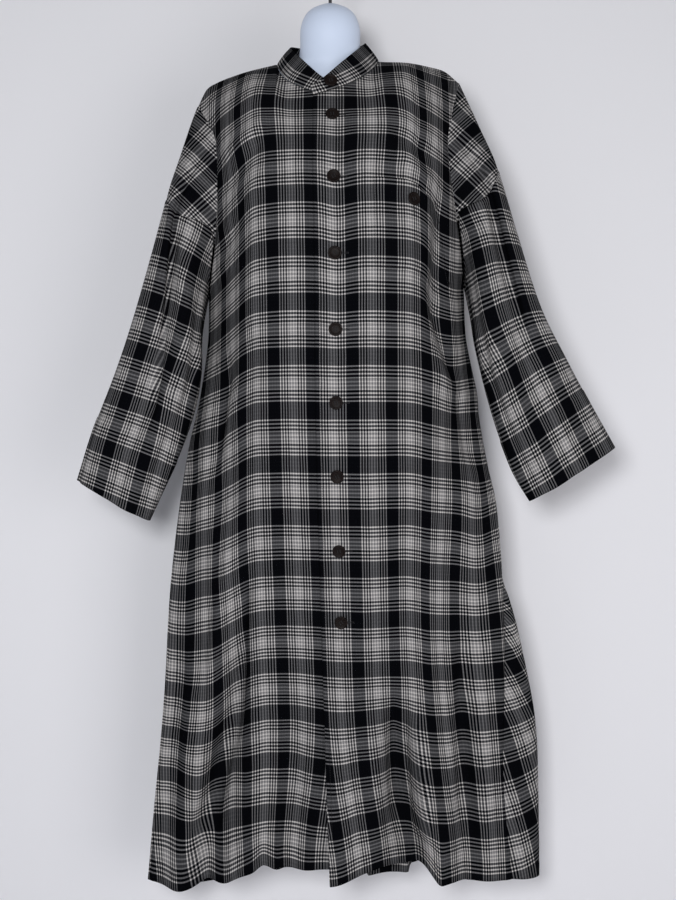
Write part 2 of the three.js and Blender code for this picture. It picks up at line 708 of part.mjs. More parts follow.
// The whole arm from the cuff up to the armhole. Its columns are shared out so that row
// SLEEVE_ROWS is the sleeve seam: above it lies the dropped shoulder of the panels, which
// runs out at DROP_COLUMNS, where the sleeve seam meets the armhole.
function armGrid(side, sections, folds) {
  const edge = armhole(side);
  const count = edge.length;
  const underarm = count / 2;
  const lengths = [0];
  for (let m = 1; m <= count; m += 1) {
    lengths.push(lengths[m - 1] + edge[m % count].distanceTo(edge[m - 1]));
  }
  const angles = edge.map((_, m) => (m <= underarm
    ? (Math.PI * lengths[m]) / lengths[underarm]
    : Math.PI * (1 + (lengths[m] - lengths[underarm]) / (lengths[count] - lengths[underarm]))));

  const sectionPoint = (t, angle) => {
    const value = (key) => along(sections, 't', key, t);
    const reach = 0.5 * (1 + Math.cos(angle));
    const swell = Math.sign(Math.sin(angle)) * Math.abs(Math.sin(angle)) ** 0.85;
    return new THREE.Vector3(
      THREE.MathUtils.lerp(value('xIn'), value('xOut'), reach),
      value('yMid') - value('depth') * swell,
      THREE.MathUtils.lerp(value('hIn'), value('hOut'), reach),
    );
  };

  const grid = [];
  const stations = [];
  edge.forEach((edgePlace, m) => {
    const fromShoulder = Math.min(m, count - m) / DROP_COLUMNS;
    const seamAt = DROP_REACH * (1 - Math.min(fromShoulder, 1) ** DROP_ROUNDNESS);
    const column = [];
    const places = [];
    for (let k = 0; k <= SLEEVE_ROWS + DROP_ROWS; k += 1) {
      const below = 1 - Math.min(k / SLEEVE_ROWS, 1);
      const above = Math.max(k - SLEEVE_ROWS, 0) / DROP_ROWS;
      const t = seamAt * (1 - above) + (1 - seamAt) * below;
      places.push(t);
      column.push(sectionPoint(t, angles[m]).lerp(edgePlace, 1 - ease(t / 0.24)));
    }
    grid.push(column);
    stations.push(places);
  });
  const flip = side.sign > 0;
  const outward = gridNormals(grid, true, flip);
  grid.forEach((column, m) => column.forEach((point, k) => {
    const t = stations[m][k];
    let depth = 0;
    for (const fold of folds) {
      const run = THREE.MathUtils.clamp((t - fold.from) / (fold.to - fold.from), 0, 1);
      const centre = THREE.MathUtils.degToRad(THREE.MathUtils.lerp(fold.angle, fold.angleEnd, run));
      const across = Math.min(Math.abs(angles[m] - centre) / THREE.MathUtils.degToRad(fold.width), 1);
      const fade = ease(run / 0.3) * (fold.to > 1 ? 1 : ease((1 - run) / 0.3));
      depth += fold.depth * 0.5 * (1 + Math.cos(Math.PI * across)) * fade;
    }
    point.addScaledVector(outward[m][k], depth);
  }));
  return { grid, directions: gridNormals(grid, true, flip), angles, stations };
}

// The sleeve is the arm below the sleeve seam, kept clear of the panels' edges.
function sleeveSheet(side, arm) {
  const flip = side.sign > 0;
  const grid = arm.grid.map((column, m) => {
    const atUnderarm = ease((0.5 * (1 - Math.cos(arm.angles[m])) - 0.55) / 0.45);
    const onArmhole = arm.stations[m][SLEEVE_ROWS] < 0.02 ? 1 : 0;
    const part = column.slice(0, SLEEVE_ROWS + 1).map((point, k) => {
      const near = 1 - ease(arm.stations[m][k] / 0.3);
      const aside = (0.9 + 2.4 * atUnderarm) * onArmhole * near;
      return point.clone().add(new THREE.Vector3(side.sign * aside, 0, 0));
    });
    const back = part[SLEEVE_ROWS - 1].clone().sub(part[SLEEVE_ROWS]).normalize();
    part[SLEEVE_ROWS].addScaledVector(back, 0.6 + (0.5 + 1.8 * atUnderarm) * onArmhole);
    return part;
  });
  const directions = arm.directions.map((column) => column.slice(0, SLEEVE_ROWS + 1));
  return gridSheet(grid, directions, true, flip);
}

// ---------------------------------------------------------------- collar, pocket, buttons

// The band starts on top at the front, goes round the neck and ends underneath its start.
function collarGrid() {
  const half = BACK_NECK_COLUMNS / 2;
  const { left, right } = SIDES;
  const stations = [
    ...neckTurns(left, -OVERLAP_TURN, 90, NECK_COLUMNS).map((turn) => [left, turn]),
    ...neckTurns(left, 90, 180, half).slice(1).map((turn) => [left, turn]),
    ...neckTurns(right, -180, -90, half).slice(1).map((turn) => [right, turn]),
    ...neckTurns(right, -90, OVERLAP_TURN, NECK_COLUMNS).slice(1).map((turn) => [right, turn]),
  ];
  const directions = [];
  const grid = stations.map(([side, turn]) => {
    const seam = pointOn(side.neckline, 'turn', turn);
    const top = pointOn(side.collarTop, 'turn', turn);
    const onTop = side === left ? 1 - ease((turn - OVERLAP_TURN - 6) / 36) : 0;
    const out = seamDirection(seam);
    const column = [];
    const columnDirections = [];
    for (let k = 0; k <= COLLAR_ROWS; k += 1) {
      const share = k / COLLAR_ROWS;
      const point = seam.clone().lerp(top, share);
      point.y -= LAYER_STEP * onTop;
      point.z += (SEAM_GAP + 0.1) * (1 - share);
      const level = new THREE.Vector3(point.x, point.y - 4, 0).normalize();
      column.push(point.addScaledVector(level, 1.2 * Math.sin(Math.PI * share)));
      columnDirections.push(out.clone().lerp(level, ease(share * 2)).normalize());
    }
    directions.push(columnDirections);
    return column;
  });
  return { grid, directions };
}

// Point and outward direction of a grid at a column and a row, which may lie between two
// columns or rows.
function onGrid(grid, column, row, directions = null) {
  const i = THREE.MathUtils.clamp(Math.floor(column), 0, grid.length - 2);
  const j = THREE.MathUtils.clamp(Math.floor(row), 0, grid[0].length - 2);
  const blend = (from) => {
    const low = from[i][j].clone().lerp(from[i + 1][j], column - i);
    const high = from[i][j + 1].clone().lerp(from[i + 1][j + 1], column - i);
    return low.lerp(high, row - j);
  };
  return { point: blend(grid), normal: directions ? blend(directions) : null };
}

// Column of the grid at a distance from the middle, on a row that may lie between two rows.
function columnAt(grid, x, row) {
  const widths = grid.map((_, i) => onGrid(grid, i, row).point.x);
  let column = 0;
  while (column < widths.length - 2 && widths[column + 1] < x) column += 1;
  return column + (x - widths[column]) / (widths[column + 1] - widths[column]);
}

// Column and row of the grid at a distance from the middle and a height.
function findOnGrid(grid, x, h) {
  let row = 0;
  let column = 0;
  for (let pass = 0; pass < 6; pass += 1) {
    column = columnAt(grid, x, row);
    const heights = grid[0].map((_, j) => onGrid(grid, column, j).point.z);
    row = 0;
    while (row < heights.length - 2 && heights[row + 1] < h) row += 1;
    row += (h - heights[row]) / (heights[row + 1] - heights[row]);
  }
  return { column, row };
}

// Whole numbers between two ends, with the ends themselves.
function stops(from, to) {
  const list = [from];
  for (let k = Math.ceil(from + 0.2); k <= to - 0.2; k += 1) list.push(k);
  return list.concat(to);
}

// The patch lies on the left front: its points are the panel's own, moved out. Its front edge
// is upright, and the rest of its columns are those of the panel.
function pocket(panel) {
  const lowRow = findOnGrid(panel, POCKET.left, POCKET.bottom).row;
  const highRow = findOnGrid(panel, POCKET.left, POCKET.top).row;
  const rows = stops(lowRow, highRow);
  const starts = rows.map((row) => columnAt(panel, POCKET.left, row));
  const lastColumn = Math.round(columnAt(panel, POCKET.right, (lowRow + highRow) / 2));
  const inner = [];
  for (let k = Math.ceil(Math.max(...starts) + 0.3); k <= lastColumn; k += 1) inner.push(k);
  const directions = gridNormals(panel, false, false);
  const place = (column, row) => {
    const { point, normal } = onGrid(panel, column, row, directions);
    return point.addScaledVector(normal, POCKET_LIFT);
  };
  const grid = [
    rows.map((row, j) => place(starts[j], row)),
    ...inner.map((column) => rows.map((row) => place(column, row))),
  ];
  return gridSheet(grid, gridNormals(grid, false, false), false, false);
}

// A button is turned about +Y and then stood on the cloth with its face along the normal.
function button(point, normal, lift) {
  const { radius, thickness, rim, dish, segments } = BUTTON;
  const profile = [
    new THREE.Vector2(0, 0),
    new THREE.Vector2(radius - 1, 0),
    new THREE.Vector2(radius, thickness * 0.55),
    new THREE.Vector2(radius - rim * 0.6, thickness),
    new THREE.Vector2(radius - rim * 2.2, thickness - dish),
    new THREE.Vector2(0, thickness - dish),
  ];
  const geometry = new THREE.LatheGeometry(profile, segments);
  const turn = new THREE.Quaternion().setFromUnitVectors(new THREE.Vector3(0, 1, 0), normal);
  geometry.applyQuaternion(turn);
  const foot = point.clone().addScaledVector(normal, lift);
  geometry.translate(foot.x, foot.y, foot.z);
  return geometry;
}

// ---------------------------------------------------------------- form and hook

function formRing(row) {
  const ring = [];
  const power = 2 / row.power;
  for (let k = 0; k < FORM_SEGMENTS; k += 1) {
    const angle = (2 * Math.PI * k) / FORM_SEGMENTS;
    const c = Math.cos(angle);
    const s = Math.sin(angle);
    const x = Math.sign(c) * Math.abs(c) ** power * (c < 0 ? row.right : row.left);
    const middle = (row.yFront + row.yBack) / 2;
    const depth = (row.yBack - row.yFront) / 2;
    const y = middle + Math.sign(s) * Math.abs(s) ** power * depth;
    const forward = s < 0 ? row.throat * Math.exp(-((x / THROAT_REACH) ** 2)) * -s : 0;
    ring.push(new THREE.Vector3(x, y - forward, row.h));
  }
  return ring;
}

function torsoForm() {
  const rings = FORM.map(formRing);
  const positions = [];
  rings.flat().forEach((p) => positions.push(p.x, p.y, p.z));
  const low = FORM[0];
  const high = FORM[FORM.length - 1];
  const base = rings.length * FORM_SEGMENTS;
  positions.push(0, (low.yFront + low.yBack) / 2, low.h);
  positions.push(0, (high.yFront + high.yBack) / 2, high.h);
  const index = [];
  for (let r = 0; r < rings.length - 1; r += 1) {
    for (let k = 0; k < FORM_SEGMENTS; k += 1) {
      const next = (k + 1) % FORM_SEGMENTS;
      const a = r * FORM_SEGMENTS + k;
      const b = r * FORM_SEGMENTS + next;
      const c = (r + 1) * FORM_SEGMENTS + next;
      const d = (r + 1) * FORM_SEGMENTS + k;
      index.push(a, b, c, a, c, d);
    }
  }
  const top = (rings.length - 1) * FORM_SEGMENTS;
  for (let k = 0; k < FORM_SEGMENTS; k += 1) {
    const next = (k + 1) % FORM_SEGMENTS;
    index.push(base, next, k);
    index.push(base + 1, top + k, top + next);
  }
  const geometry = new THREE.BufferGeometry();
  geometry.setAttribute('position', new THREE.Float32BufferAttribute(positions, 3));
  geometry.setIndex(index);
  geometry.computeVertexNormals();
  return geometry;
}

// Round wire: a shank rises from the neck cap into an open crook that passes over the origin.
function hook() {
  const { wire, crook, foot, lead, openEnd, segments, steps } = HOOK;
  const centre = HOOK_HEIGHT - crook;
  const bend = crook + wire;
  const turnPoint = (degrees) => {
    const angle = THREE.MathUtils.degToRad(degrees);
    return new THREE.Vector3(bend * Math.cos(angle), HOOK_Y, centre + bend * Math.sin(angle));
  };
  const points = [
    new THREE.Vector3(0, HOOK_Y, foot),
    new THREE.Vector3(0, HOOK_Y, foot + lead),
    new THREE.Vector3(1.5, HOOK_Y, centre - bend - 5),
  ];
  for (let degrees = -50; degrees <= openEnd; degrees += 28) points.push(turnPoint(degrees));
  const path = new THREE.CatmullRomCurve3(points);
  const depthWays = new THREE.Vector3(0, 1, 0);
  const positions = [];
  const index = [];
  for (let k = 0; k <= steps; k += 1) {
    const place = path.getPointAt(k / steps);
    const side = depthWays.clone().cross(path.getTangentAt(k / steps)).normalize();
    if (k === 0) side.set(1, 0, 0);
    for (let m = 0; m < segments; m += 1) {
      const angle = (2 * Math.PI * m) / segments;
      const p = place.clone().addScaledVector(side, wire * Math.cos(angle));
      p.addScaledVector(depthWays, wire * Math.sin(angle));
      positions.push(p.x, p.y, p.z);
      const next = (m + 1) % segments;
      const row = k * segments;
      if (k < steps) index.push(row + m, row + next, row + segments + next);
      if (k < steps) index.push(row + m, row + segments + next, row + segments + m);
    }
  }
  const end = steps * segments;
  for (let m = 1; m < segments - 1; m += 1) {
    index.push(0, m + 1, m);
    index.push(end, end + m, end + m + 1);
  }
  const geometry = new THREE.BufferGeometry();
  geometry.setAttribute('position', new THREE.Float32BufferAttribute(positions, 3));
  geometry.setIndex(index);
  geometry.computeVertexNormals();
  return geometry;
}

// ---------------------------------------------------------------- the whole part

const group = new THREE.Group();
const cloth = (name, sheet) => group.add(named(name, wall(sheet), CHECK_CLOTH, 0.85));
const rightFront = frontGrid(SIDES.right, false);
const leftFront = frontGrid(SIDES.left, true);
const wholeBack = backGrid();
const band = collarGrid();
const rightArm = armGrid(SIDES.right, RIGHT_SLEEVE, RIGHT_SLEEVE_FOLDS);
const leftArm = armGrid(SIDES.left, LEFT_SLEEVE, LEFT_SLEEVE_FOLDS);

const around = rightArm.grid.length;
const frontHalf = Array.from({ length: DROP_COLUMNS + 1 }, (_, c) => c);
const backHalf = frontHalf.map((c) => (around - c) % around);
const frontEnd = { at: rightFront.length - 1, inside: rightFront.length - 2, half: frontHalf };
const backStart = { at: 0, inside: 1, half: backHalf };
const backEnd = { at: wholeBack.length - 1, inside: wholeBack.length - 2, half: backHalf };

cloth('front_right', panelSheet(rightFront, true, [{ ...frontEnd, arm: rightArm, turn: false }]));
cloth('front_left', panelSheet(leftFront, false, [{ ...frontEnd, arm: leftArm, turn: true }]));
cloth('back', panelSheet(wholeBack, false, [
  { ...backStart, arm: leftArm, turn: false },
  { ...backEnd, arm: rightArm, turn: true },
]));
cloth('sleeve_right', sleeveSheet(SIDES.right, rightArm));
cloth('sleeve_left', sleeveSheet(SIDES.left, leftArm));
cloth('collar', gridSheet(band.grid, band.directions, false, false));
cloth('pocket', pocket(leftFront));

const sewOn = (name, grid, directions, column, row, lift) => {
  const { point, normal } = onGrid(grid, column, row, directions);
  group.add(named(name, button(point, normal.normalize(), lift), HORN, 0.45));
};
const frontDirections = gridNormals(leftFront, false, false);
const onCloth = WALL / 2 + SEAM_GAP;
BUTTON_HEIGHTS.forEach((h, k) => {
  const { column, row } = findOnGrid(leftFront, along(MIDDLE, 'h', 'buttonX', h), h);
  sewOn(`button_${k + 1}`, leftFront, frontDirections, column, row, onCloth);
});
const onPocket = findOnGrid(leftFront, POCKET_BUTTON.x, POCKET_BUTTON.h);
sewOn('button_pocket', leftFront, frontDirections, onPocket.column, onPocket.row, POCKET_LIFT + onCloth);
const bandFront = band.grid.slice(0, NECK_COLUMNS + 1);
const onBand = columnAt(bandFront, COLLAR_BUTTON.x, COLLAR_BUTTON.row);
const bandDirections = gridNormals(band.grid, false, false);
sewOn('button_collar', band.grid, bandDirections, onBand, COLLAR_BUTTON.row, onCloth + COLLAR_BUTTON.shank);

group.add(named('torso_form', torsoForm(), FORM_CLOTH, 0.4));
group.add(named('hook', hook(), STEEL, 0.35, 0.9));

export default group;
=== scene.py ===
"""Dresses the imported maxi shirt: thin checked cloth on the worn form, its buttons and
stitching, the torso form and its hook, a pale wall and a soft light."""

import math

import bpy
import numpy as np
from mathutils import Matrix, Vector


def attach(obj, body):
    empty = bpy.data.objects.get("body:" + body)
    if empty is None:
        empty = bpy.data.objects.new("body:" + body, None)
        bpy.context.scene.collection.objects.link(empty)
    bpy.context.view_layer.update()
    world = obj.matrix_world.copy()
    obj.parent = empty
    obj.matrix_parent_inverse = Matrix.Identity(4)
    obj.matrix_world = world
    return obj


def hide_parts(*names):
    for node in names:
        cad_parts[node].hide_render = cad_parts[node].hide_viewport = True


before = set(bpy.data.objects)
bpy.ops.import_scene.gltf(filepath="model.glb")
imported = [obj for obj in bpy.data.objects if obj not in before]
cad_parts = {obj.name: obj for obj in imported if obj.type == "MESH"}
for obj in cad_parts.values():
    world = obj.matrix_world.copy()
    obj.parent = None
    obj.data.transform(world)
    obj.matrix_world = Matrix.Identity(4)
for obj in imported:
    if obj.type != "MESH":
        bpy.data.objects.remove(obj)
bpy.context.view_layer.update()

# ------------------------------------------------------------------ sizes, millimetres

HOOK_HEIGHT = 1447.0
HOOK_Y = 4.0
HEM_LEVEL = 34.0
CHEST_LEVEL = 1096.0
THICKNESS = 0.7
PLACKET = 30.0
LAYER_STEP = 2.6
OVERLAP_TURN = 22.0

HEM_ROWS = 20
ARMHOLE_ROWS = 5
YOKE_ROWS = 6
NECK_COLUMNS = 8
SHOULDER_COLUMNS = 8
BACK_NECK_COLUMNS = 12
SLEEVE_ROWS = 11
DROP_ROWS = 4
DROP_REACH = 0.26
FINE_ROWS = 8
FINE_COLUMNS = 6
FINE_BACK_COLUMNS = 5
FINE_SLEEVE_ROWS = 11
FINE_DROP_ROWS = 6

BUTTON_HEIGHTS = (1177, 1080, 968, 858, 752, 644, 532, 422)
POCKET = {"left": 62.0, "right": 166.0, "bottom": 945.0, "top": 1080.0}
POCKET_BUTTON = (121.0, 1050.0)
COLLAR_BUTTON_X = 1.0

WARP_REPEAT = 57.6
WEFT_REPEAT = 78.8
WARP_START = 6.0
WEFT_DARK = 109.8


# ------------------------------------------------------------------ tables


def table(names, *rows):
    data = np.array(rows, float)
    return {name: data[:, k] for k, name in enumerate(names.split())}


RIGHT_SEAM = table(
    "h x y",
    (-40, 293, 48), (0, 291, 48), (120, 281, 47), (220, 271, 45), (320, 263, 43), (446, 256, 40),
    (545, 246, 37), (645, 232, 34), (700, 222, 32), (760, 207, 28), (850, 193, 22), (915, 191, 20),
)
LEFT_SEAM = table(
    "h x y",
    (-40, 290, 30), (0, 288, 30), (165, 274, 30), (320, 276, 32), (446, 275, 36), (600, 263, 36),
    (657, 250, 34), (735, 236, 32), (771, 233, 30), (810, 224, 27), (860, 214, 23), (925, 211, 20),
)
RIGHT_ARMHOLE = table(
    "h xFront yFront xBack yBack",
    (915, 191, 20, 191, 20), (950, 185, -4, 184, 44), (1000, 178, -18, 178, 60),
    (1065, 173, -28, 175, 66), (1115, 172, -30, 175, 60), (1160, 176, -24, 181, 44),
    (1190, 190, -12, 192, 24), (1214, 205, 3, 205, 3),
)
LEFT_ARMHOLE = table(
    "h xFront yFront xBack yBack",
    (925, 211, 20, 211, 20), (960, 207, 0, 206, 44), (1005, 201, -14, 198, 60),
    (1065, 190, -26, 190, 66), (1115, 182, -30, 184, 62), (1160, 180, -25, 184, 50),
    (1205, 188, -12, 191, 28), (1251, 199, 4, 199, 4),
)
MIDDLE = table(
    "h buttonX yFront frontPower yBack backPower",
    (-40, 34, 6, 2.2, 94, 2.4), (0, 31, 4, 2.2, 94, 2.4), (120, 26, 0, 2.2, 94, 2.4),
    (300, 20, -14, 2.3, 93, 2.4), (480, 15, -46, 2.5, 91, 2.5), (640, 11, -84, 2.8, 88, 2.7),
    (760, 9, -106, 3.0, 86, 2.9), (900, 8, -117, 3.2, 88, 3.0), (1010, 7, -118, 3.2, 92, 3.0),
    (1100, 5, -108, 3.2, 92, 3.0), (1160, 4, -90, 3.2, 88, 3.0), (1220, 3, -66, 3.2, 80, 3.0),
)
RIGHT_DROP = table(
    "x drop",
    (0, 0), (108, 0), (128, 4), (160, 18), (190, 31), (220, 39), (250, 38), (291, 31),
)
LEFT_DROP = table("x drop", (0, 0), (105, 0), (122, 4), (145, 17), (180, 25), (217, 26), (290, 25))
DROP_SHARES = table(
    "level right left",
    (34, 1, 1), (120, 0.45, 0.8), (200, 0.5, 0.5), (330, 1.05, 0.35), (700, 1.2, 0.35),
    (830, 1.3, 0.4), (920, 1.55, 0.8), (1000, 1.85, 1.15), (1096, 1.85, 1.4),
)
RIGHT_NECKLINE = table(
    "turn x y h",
    (-180, 0, 62, 1284), (-135, -60, 44, 1284), (-90, -82, 2, 1279), (-50, -66, -38, 1244),
    (-24, -32, -58, 1223), (0, -4, -64, 1216), (22, 22, -60, 1219),
)
LEFT_NECKLINE = table(
    "turn x y h",
    (-22, -25, -64, 1213), (0, 2, -63, 1221), (24, 27, -56, 1232), (50, 54, -36, 1252),
    (90, 75, 2, 1284), (135, 55, 44, 1287), (180, 0, 62, 1284),
)
RIGHT_COLLAR_TOP = table(
    "turn x y h",
    (-180, 0, 60, 1320), (-135, -46, 44, 1318), (-90, -62, 12, 1308), (-50, -42, -38, 1274),
    (-24, -16, -52, 1247), (0, 3, -54, 1234), (22, 18, -52, 1230),
)
LEFT_COLLAR_TOP = table(
    "turn x y h",
    (-22, -28, -63, 1226), (0, -10, -58, 1240), (24, 7, -53, 1256), (50, 29, -43, 1278),
    (90, 54, 9, 1314), (135, 43, 44, 1320), (180, 0, 60, 1320),
)
RIGHT_SHOULDER = table(
    "share x y h",
    (0, -82, 2, 1280), (0.28, -118, 5, 1271), (0.52, -149, 6, 1262), (0.74, -176, 6, 1252),
    (0.88, -192, 5, 1241), (1, -205, 3, 1214),
)
LEFT_SHOULDER = table(
    "share x y h",
    (0, 75, 2, 1284), (0.34, 117, 5, 1282), (0.6, 151, 6, 1277), (0.82, 177, 6, 1270),
    (1, 199, 4, 1251),
)
LEFT_ROLL = table(
    "h out", (0, 68), (80, 76), (160, 79), (240, 76), (320, 65), (400, 49), (446, 32), (500, 5),
    (520, 0)
)
ROLL_SHARE = 0.42
FLAP = {"top": 400.0, "reach": 100.0, "forward": 16.0, "lower": 22.0}
RIGHT_SLEEVE = table(
    "t xOut hOut xIn hIn yMid depth",
    (0, -205, 1214, -191, 915, 18, 46), (0.08, -224, 1172, -197, 894, 16, 56),
    (0.17, -239, 1122, -199, 870, 10, 60), (0.27, -254, 1064, -199, 842, 2, 56),
    (0.4, -275, 980, -198, 806, -8, 50), (0.55, -301, 885, -206, 752, -14, 46),
    (0.7, -334, 790, -226, 689, -13, 41), (0.85, -364, 712, -252, 630, -10, 36),
    (1, -388, 637, -279, 575, -8, 30),
)
LEFT_SLEEVE = table(
    "t xOut hOut xIn hIn yMid depth",
    (0, 199, 1251, 211, 925, 18, 46), (0.08, 221, 1208, 217, 903, 16, 56),
    (0.17, 240, 1165, 220, 880, 10, 60), (0.27, 260, 1110, 222, 852, 2, 56),
    (0.4, 284, 1024, 228, 818, -8, 50), (0.55, 321, 905, 240, 767, -14, 46),
    (0.7, 363, 822, 259, 705, -13, 41), (0.85, 401, 750, 281, 648, -10, 36),
    (1, 437, 687, 307, 605, -8, 30),
)
FORM = table(
    "h right left yFront yBack power throat",
    (640, 136, 138, -58, 66, 2.3, 0), (700, 140, 142, -66, 70, 2.3, 0),
    (780, 134, 136, -74, 68, 2.3, 0), (860, 138, 142, -86, 70, 2.3, 0),
    (940, 146, 158, -96, 76, 2.3, 0), (1020, 154, 168, -100, 82, 2.3, 0),
    (1090, 160, 172, -95, 84, 2.3, 0), (1150, 166, 174, -78, 76, 2.4, 0),
    (1190, 172, 178, -60, 64, 2.4, 0), (1217, 172, 180, -42, 50, 2.3, 2),
    (1240, 158, 172, -30, 38, 2.2, 7), (1255.4, 134, 158, -24, 32, 2.1, 13),
    (1265.4, 106, 128, -18, 26, 2, 19), (1272.4, 76, 84, -20, 24, 2, 17),
    (1278, 54, 56, -32, 30, 2, 5), (1300, 47, 47, -36, 38, 2, 0), (1332, 46, 46, -36, 40, 2, 0),
    (1352, 40, 40, -30, 36, 2, 0), (1364, 29, 29, -19, 26, 2, 0), (1371, 13, 13, -7, 14, 2, 0),
)
THROAT_REACH = 42.0
BACK_HEM = {"lower": 20.0, "top": 260.0}
# A fold of the back's hem that shows under the front's hem.
BACK_FOLD = {
    "start": 46.0, "width": 84.0, "rise": 16.0, "fall": 7.0, "top": 190.0, "forward": 40.0,
    "lower": 14.0, "slope": 0.15,
}
# Shares of a half panel from its side and top seams in which the small creases fade out.
NARROW_EDGE = (0.05, 0.07)

# Largest folds: a fold runs from (xTop, top) down to (xEnd, end), before and after are its
# reach towards -X and +X, and a positive depth stands out from the body.
FOLD_NAMES = "xTop top xEnd end before after depth"
FRONT_FOLDS = table(
    FOLD_NAMES,
    (-150, 900, -178, 500, 34, 34, -11), (-128, 420, -205, -40, 34, 44, -19),
    (-100, 640, -112, -40, 46, 40, 9), (-165, 620, -238, -40, 48, 40, 12),
    (-50, 380, -60, -40, 40, 36, -9), (112, 350, 140, -40, 60, 22, -32),
    (146, 360, 160, -40, 22, 60, 14), (205, 560, 214, -40, 34, 40, -12),
    (160, 1090, 166, 780, 30, 30, -11),
)
BACK_FOLDS = table(
    FOLD_NAMES,
    (-190, 700, -215, -40, 46, 46, 12), (-120, 620, -138, -40, 44, 50, -15),
    (-58, 760, -60, -40, 40, 44, 9), (15, 520, 10, -40, 44, 40, -13),
    (80, 700, 90, -40, 46, 46, 12), (150, 560, 165, -40, 44, 44, -15),
    (228, 470, 262, -40, 60, 90, 30),
)
# Lengthwise folds of a sleeve: their places round it in degrees, 0 at the outer edge and 90
# in front, the stretch of the sleeve they take up, their half width and depth.
SLEEVE_ROW_NAMES = "angle angleEnd start end width depth"
RIGHT_SLEEVE_FOLDS = table(
    SLEEVE_ROW_NAMES,
    (70, 84, 0.1, 0.85, 26, -17), (118, 112, 0.3, 1.1, 26, 7), (262, 250, 0.15, 0.9, 30, -14),
)
LEFT_SLEEVE_FOLDS = table(
    SLEEVE_ROW_NAMES,
    (60, 88, 0.08, 0.8, 26, -14), (128, 112, 0.35, 1.1, 28, 6), (268, 255, 0.15, 0.95, 30, -14),
)

# Smaller creases of the panels, from (x1, h1) down to (x2, h2), bowed sideways by bow in the
# middle; left and right are their widths and a positive depth stands out.
CREASE_NAMES = "x1 h1 x2 h2 bow left right depth"
FRONT_CREASES = table(
    CREASE_NAMES,
    (-124, 520, -149, 250, 0, 14, 9, -4.5),
    (-146, 300, -214, 40, 5, 17, 12, -4.5),
    (-108, 500, -132, 250, 0, 10, 14, 2.5),
    (-128, 290, -190, 60, 5, 12, 16, 2.5),
    (-152, 850, -196, 600, 4, 12, 8, -4.5),
    (-140, 800, -182, 590, 0, 12, 14, 3.0),
    (-112, 905, -146, 540, 6, 16, 12, -2.6),
    (-98, 1090, -116, 800, -4, 14, 16, 2.4),
    (-150, 560, -192, 300, 0, 12, 14, 5.0),
    (-172, 480, -206, 290, 0, 12, 10, -4.0),
    (-132, 420, -178, 180, 6, 10, 14, -6.0),
    (-170, 230, -204, 60, 4, 12, 12, -5.0),
    (-112, 330, -120, 40, 2, 16, 16, 3.0),
    (-232, 420, -262, 30, 0, 14, 16, -3.4),
    (-60, 330, -66, 0, 2, 14, 14, -3.2),
    (-205, 700, -232, 480, 0, 10, 10, -2.4),
    (-90, 1180, -172, 1120, 6, 12, 12, 3.4),
    (-100, 1150, -168, 1070, 8, 10, 12, -3.0),
    (-86, 1120, -166, 1000, 10, 14, 14, 2.6),
    (-126, 1075, -172, 960, 8, 10, 12, -3.2),
    (-60, 880, -76, 500, 0, 18, 18, -1.6),
    (96, 1130, 166, 1076, -6, 12, 12, 3.0),
    (86, 1160, 170, 1120, -6, 12, 12, -2.6),
    (158, 1080, 168, 900, 3, 9, 12, -5.0),
    (168, 930, 196, 770, -8, 10, 12, -6.0),
    (194, 800, 224, 640, -4, 9, 9, -4.0),
    (150, 900, 176, 760, 0, 14, 12, 3.2),
    (108, 620, 116, 300, 0, 18, 16, -2.4),
    (96, 330, 112, 60, 2, 14, 10, -7.0),
    (128, 330, 146, 60, 2, 12, 14, 5.0),
    (172, 470, 178, 60, 0, 14, 14, -4.0),
    (205, 420, 216, 40, 0, 12, 12, -5.0),
    (228, 330, 244, 40, 0, 12, 14, 4.0),
    (62, 300, 66, 0, 0, 16, 16, 3.4),
    (36, 260, 38, 0, 0, 14, 14, -2.4),
    (60, 760, 66, 480, 0, 22, 22, 1.6),
)
BACK_CREASES = table(
    CREASE_NAMES,
    (-96, 1180, -168, 1090, 8, 14, 14, -3.0),
    (90, 1180, 172, 1100, -8, 14, 14, -3.2),
    (-60, 1150, -150, 960, 16, 18, 18, 2.6),
    (70, 1160, 160, 950, -14, 18, 18, 2.8),
    (-168, 900, -190, 560, 0, 14, 14, -5.0),
    (176, 880, 214, 520, 0, 14, 14, -5.0),
    (-130, 560, -150, 60, 0, 16, 16, -5.0),
    (-84, 480, -92, 20, 0, 16, 16, 4.0),
    (-20, 640, -26, 60, 4, 18, 18, -3.4),
    (36, 520, 44, 10, 0, 16, 18, 4.2),
    (112, 470, 126, 30, 0, 14, 16, -5.0),
    (180, 520, 204, 30, 0, 16, 14, 4.6),
    (-206, 520, -244, 40, 0, 14, 16, -4.6),
    (0, 1010, 6, 780, 10, 26, 26, -2.2),
)

# ------------------------------------------------------------------ small helpers


def ease(t):
    c = np.clip(t, 0.0, 1.0)
    return c * c * (3 - 2 * c)


def along(rows, by, key, at):
    """Smooth curve through column key of a table whose rows rise in column by."""
    x, v = rows[by], rows[key]
    at = np.clip(np.asarray(at, float), x[0], x[-1])
    i = np.clip(np.searchsorted(x, at, side="left") - 1, 0, len(x) - 2)
    ahead = np.minimum(np.arange(len(x)) + 1, len(x) - 1)
    behind = np.maximum(np.arange(len(x)) - 1, 0)
    slopes = (v[ahead] - v[behind]) / (x[ahead] - x[behind])
    span = x[i + 1] - x[i]
    t = (at - x[i]) / span
    rise = v[i + 1] - v[i]
    start, end = slopes[i] * span, slopes[i + 1] * span
    return v[i] + t * (start + t * (3 * rise - 2 * start - end + t * (start + end - 2 * rise)))


def each(rows):
    """The rows of a table, one by one."""
    for k in range(len(next(iter(rows.values())))):
        yield {name: column[k] for name, column in rows.items()}


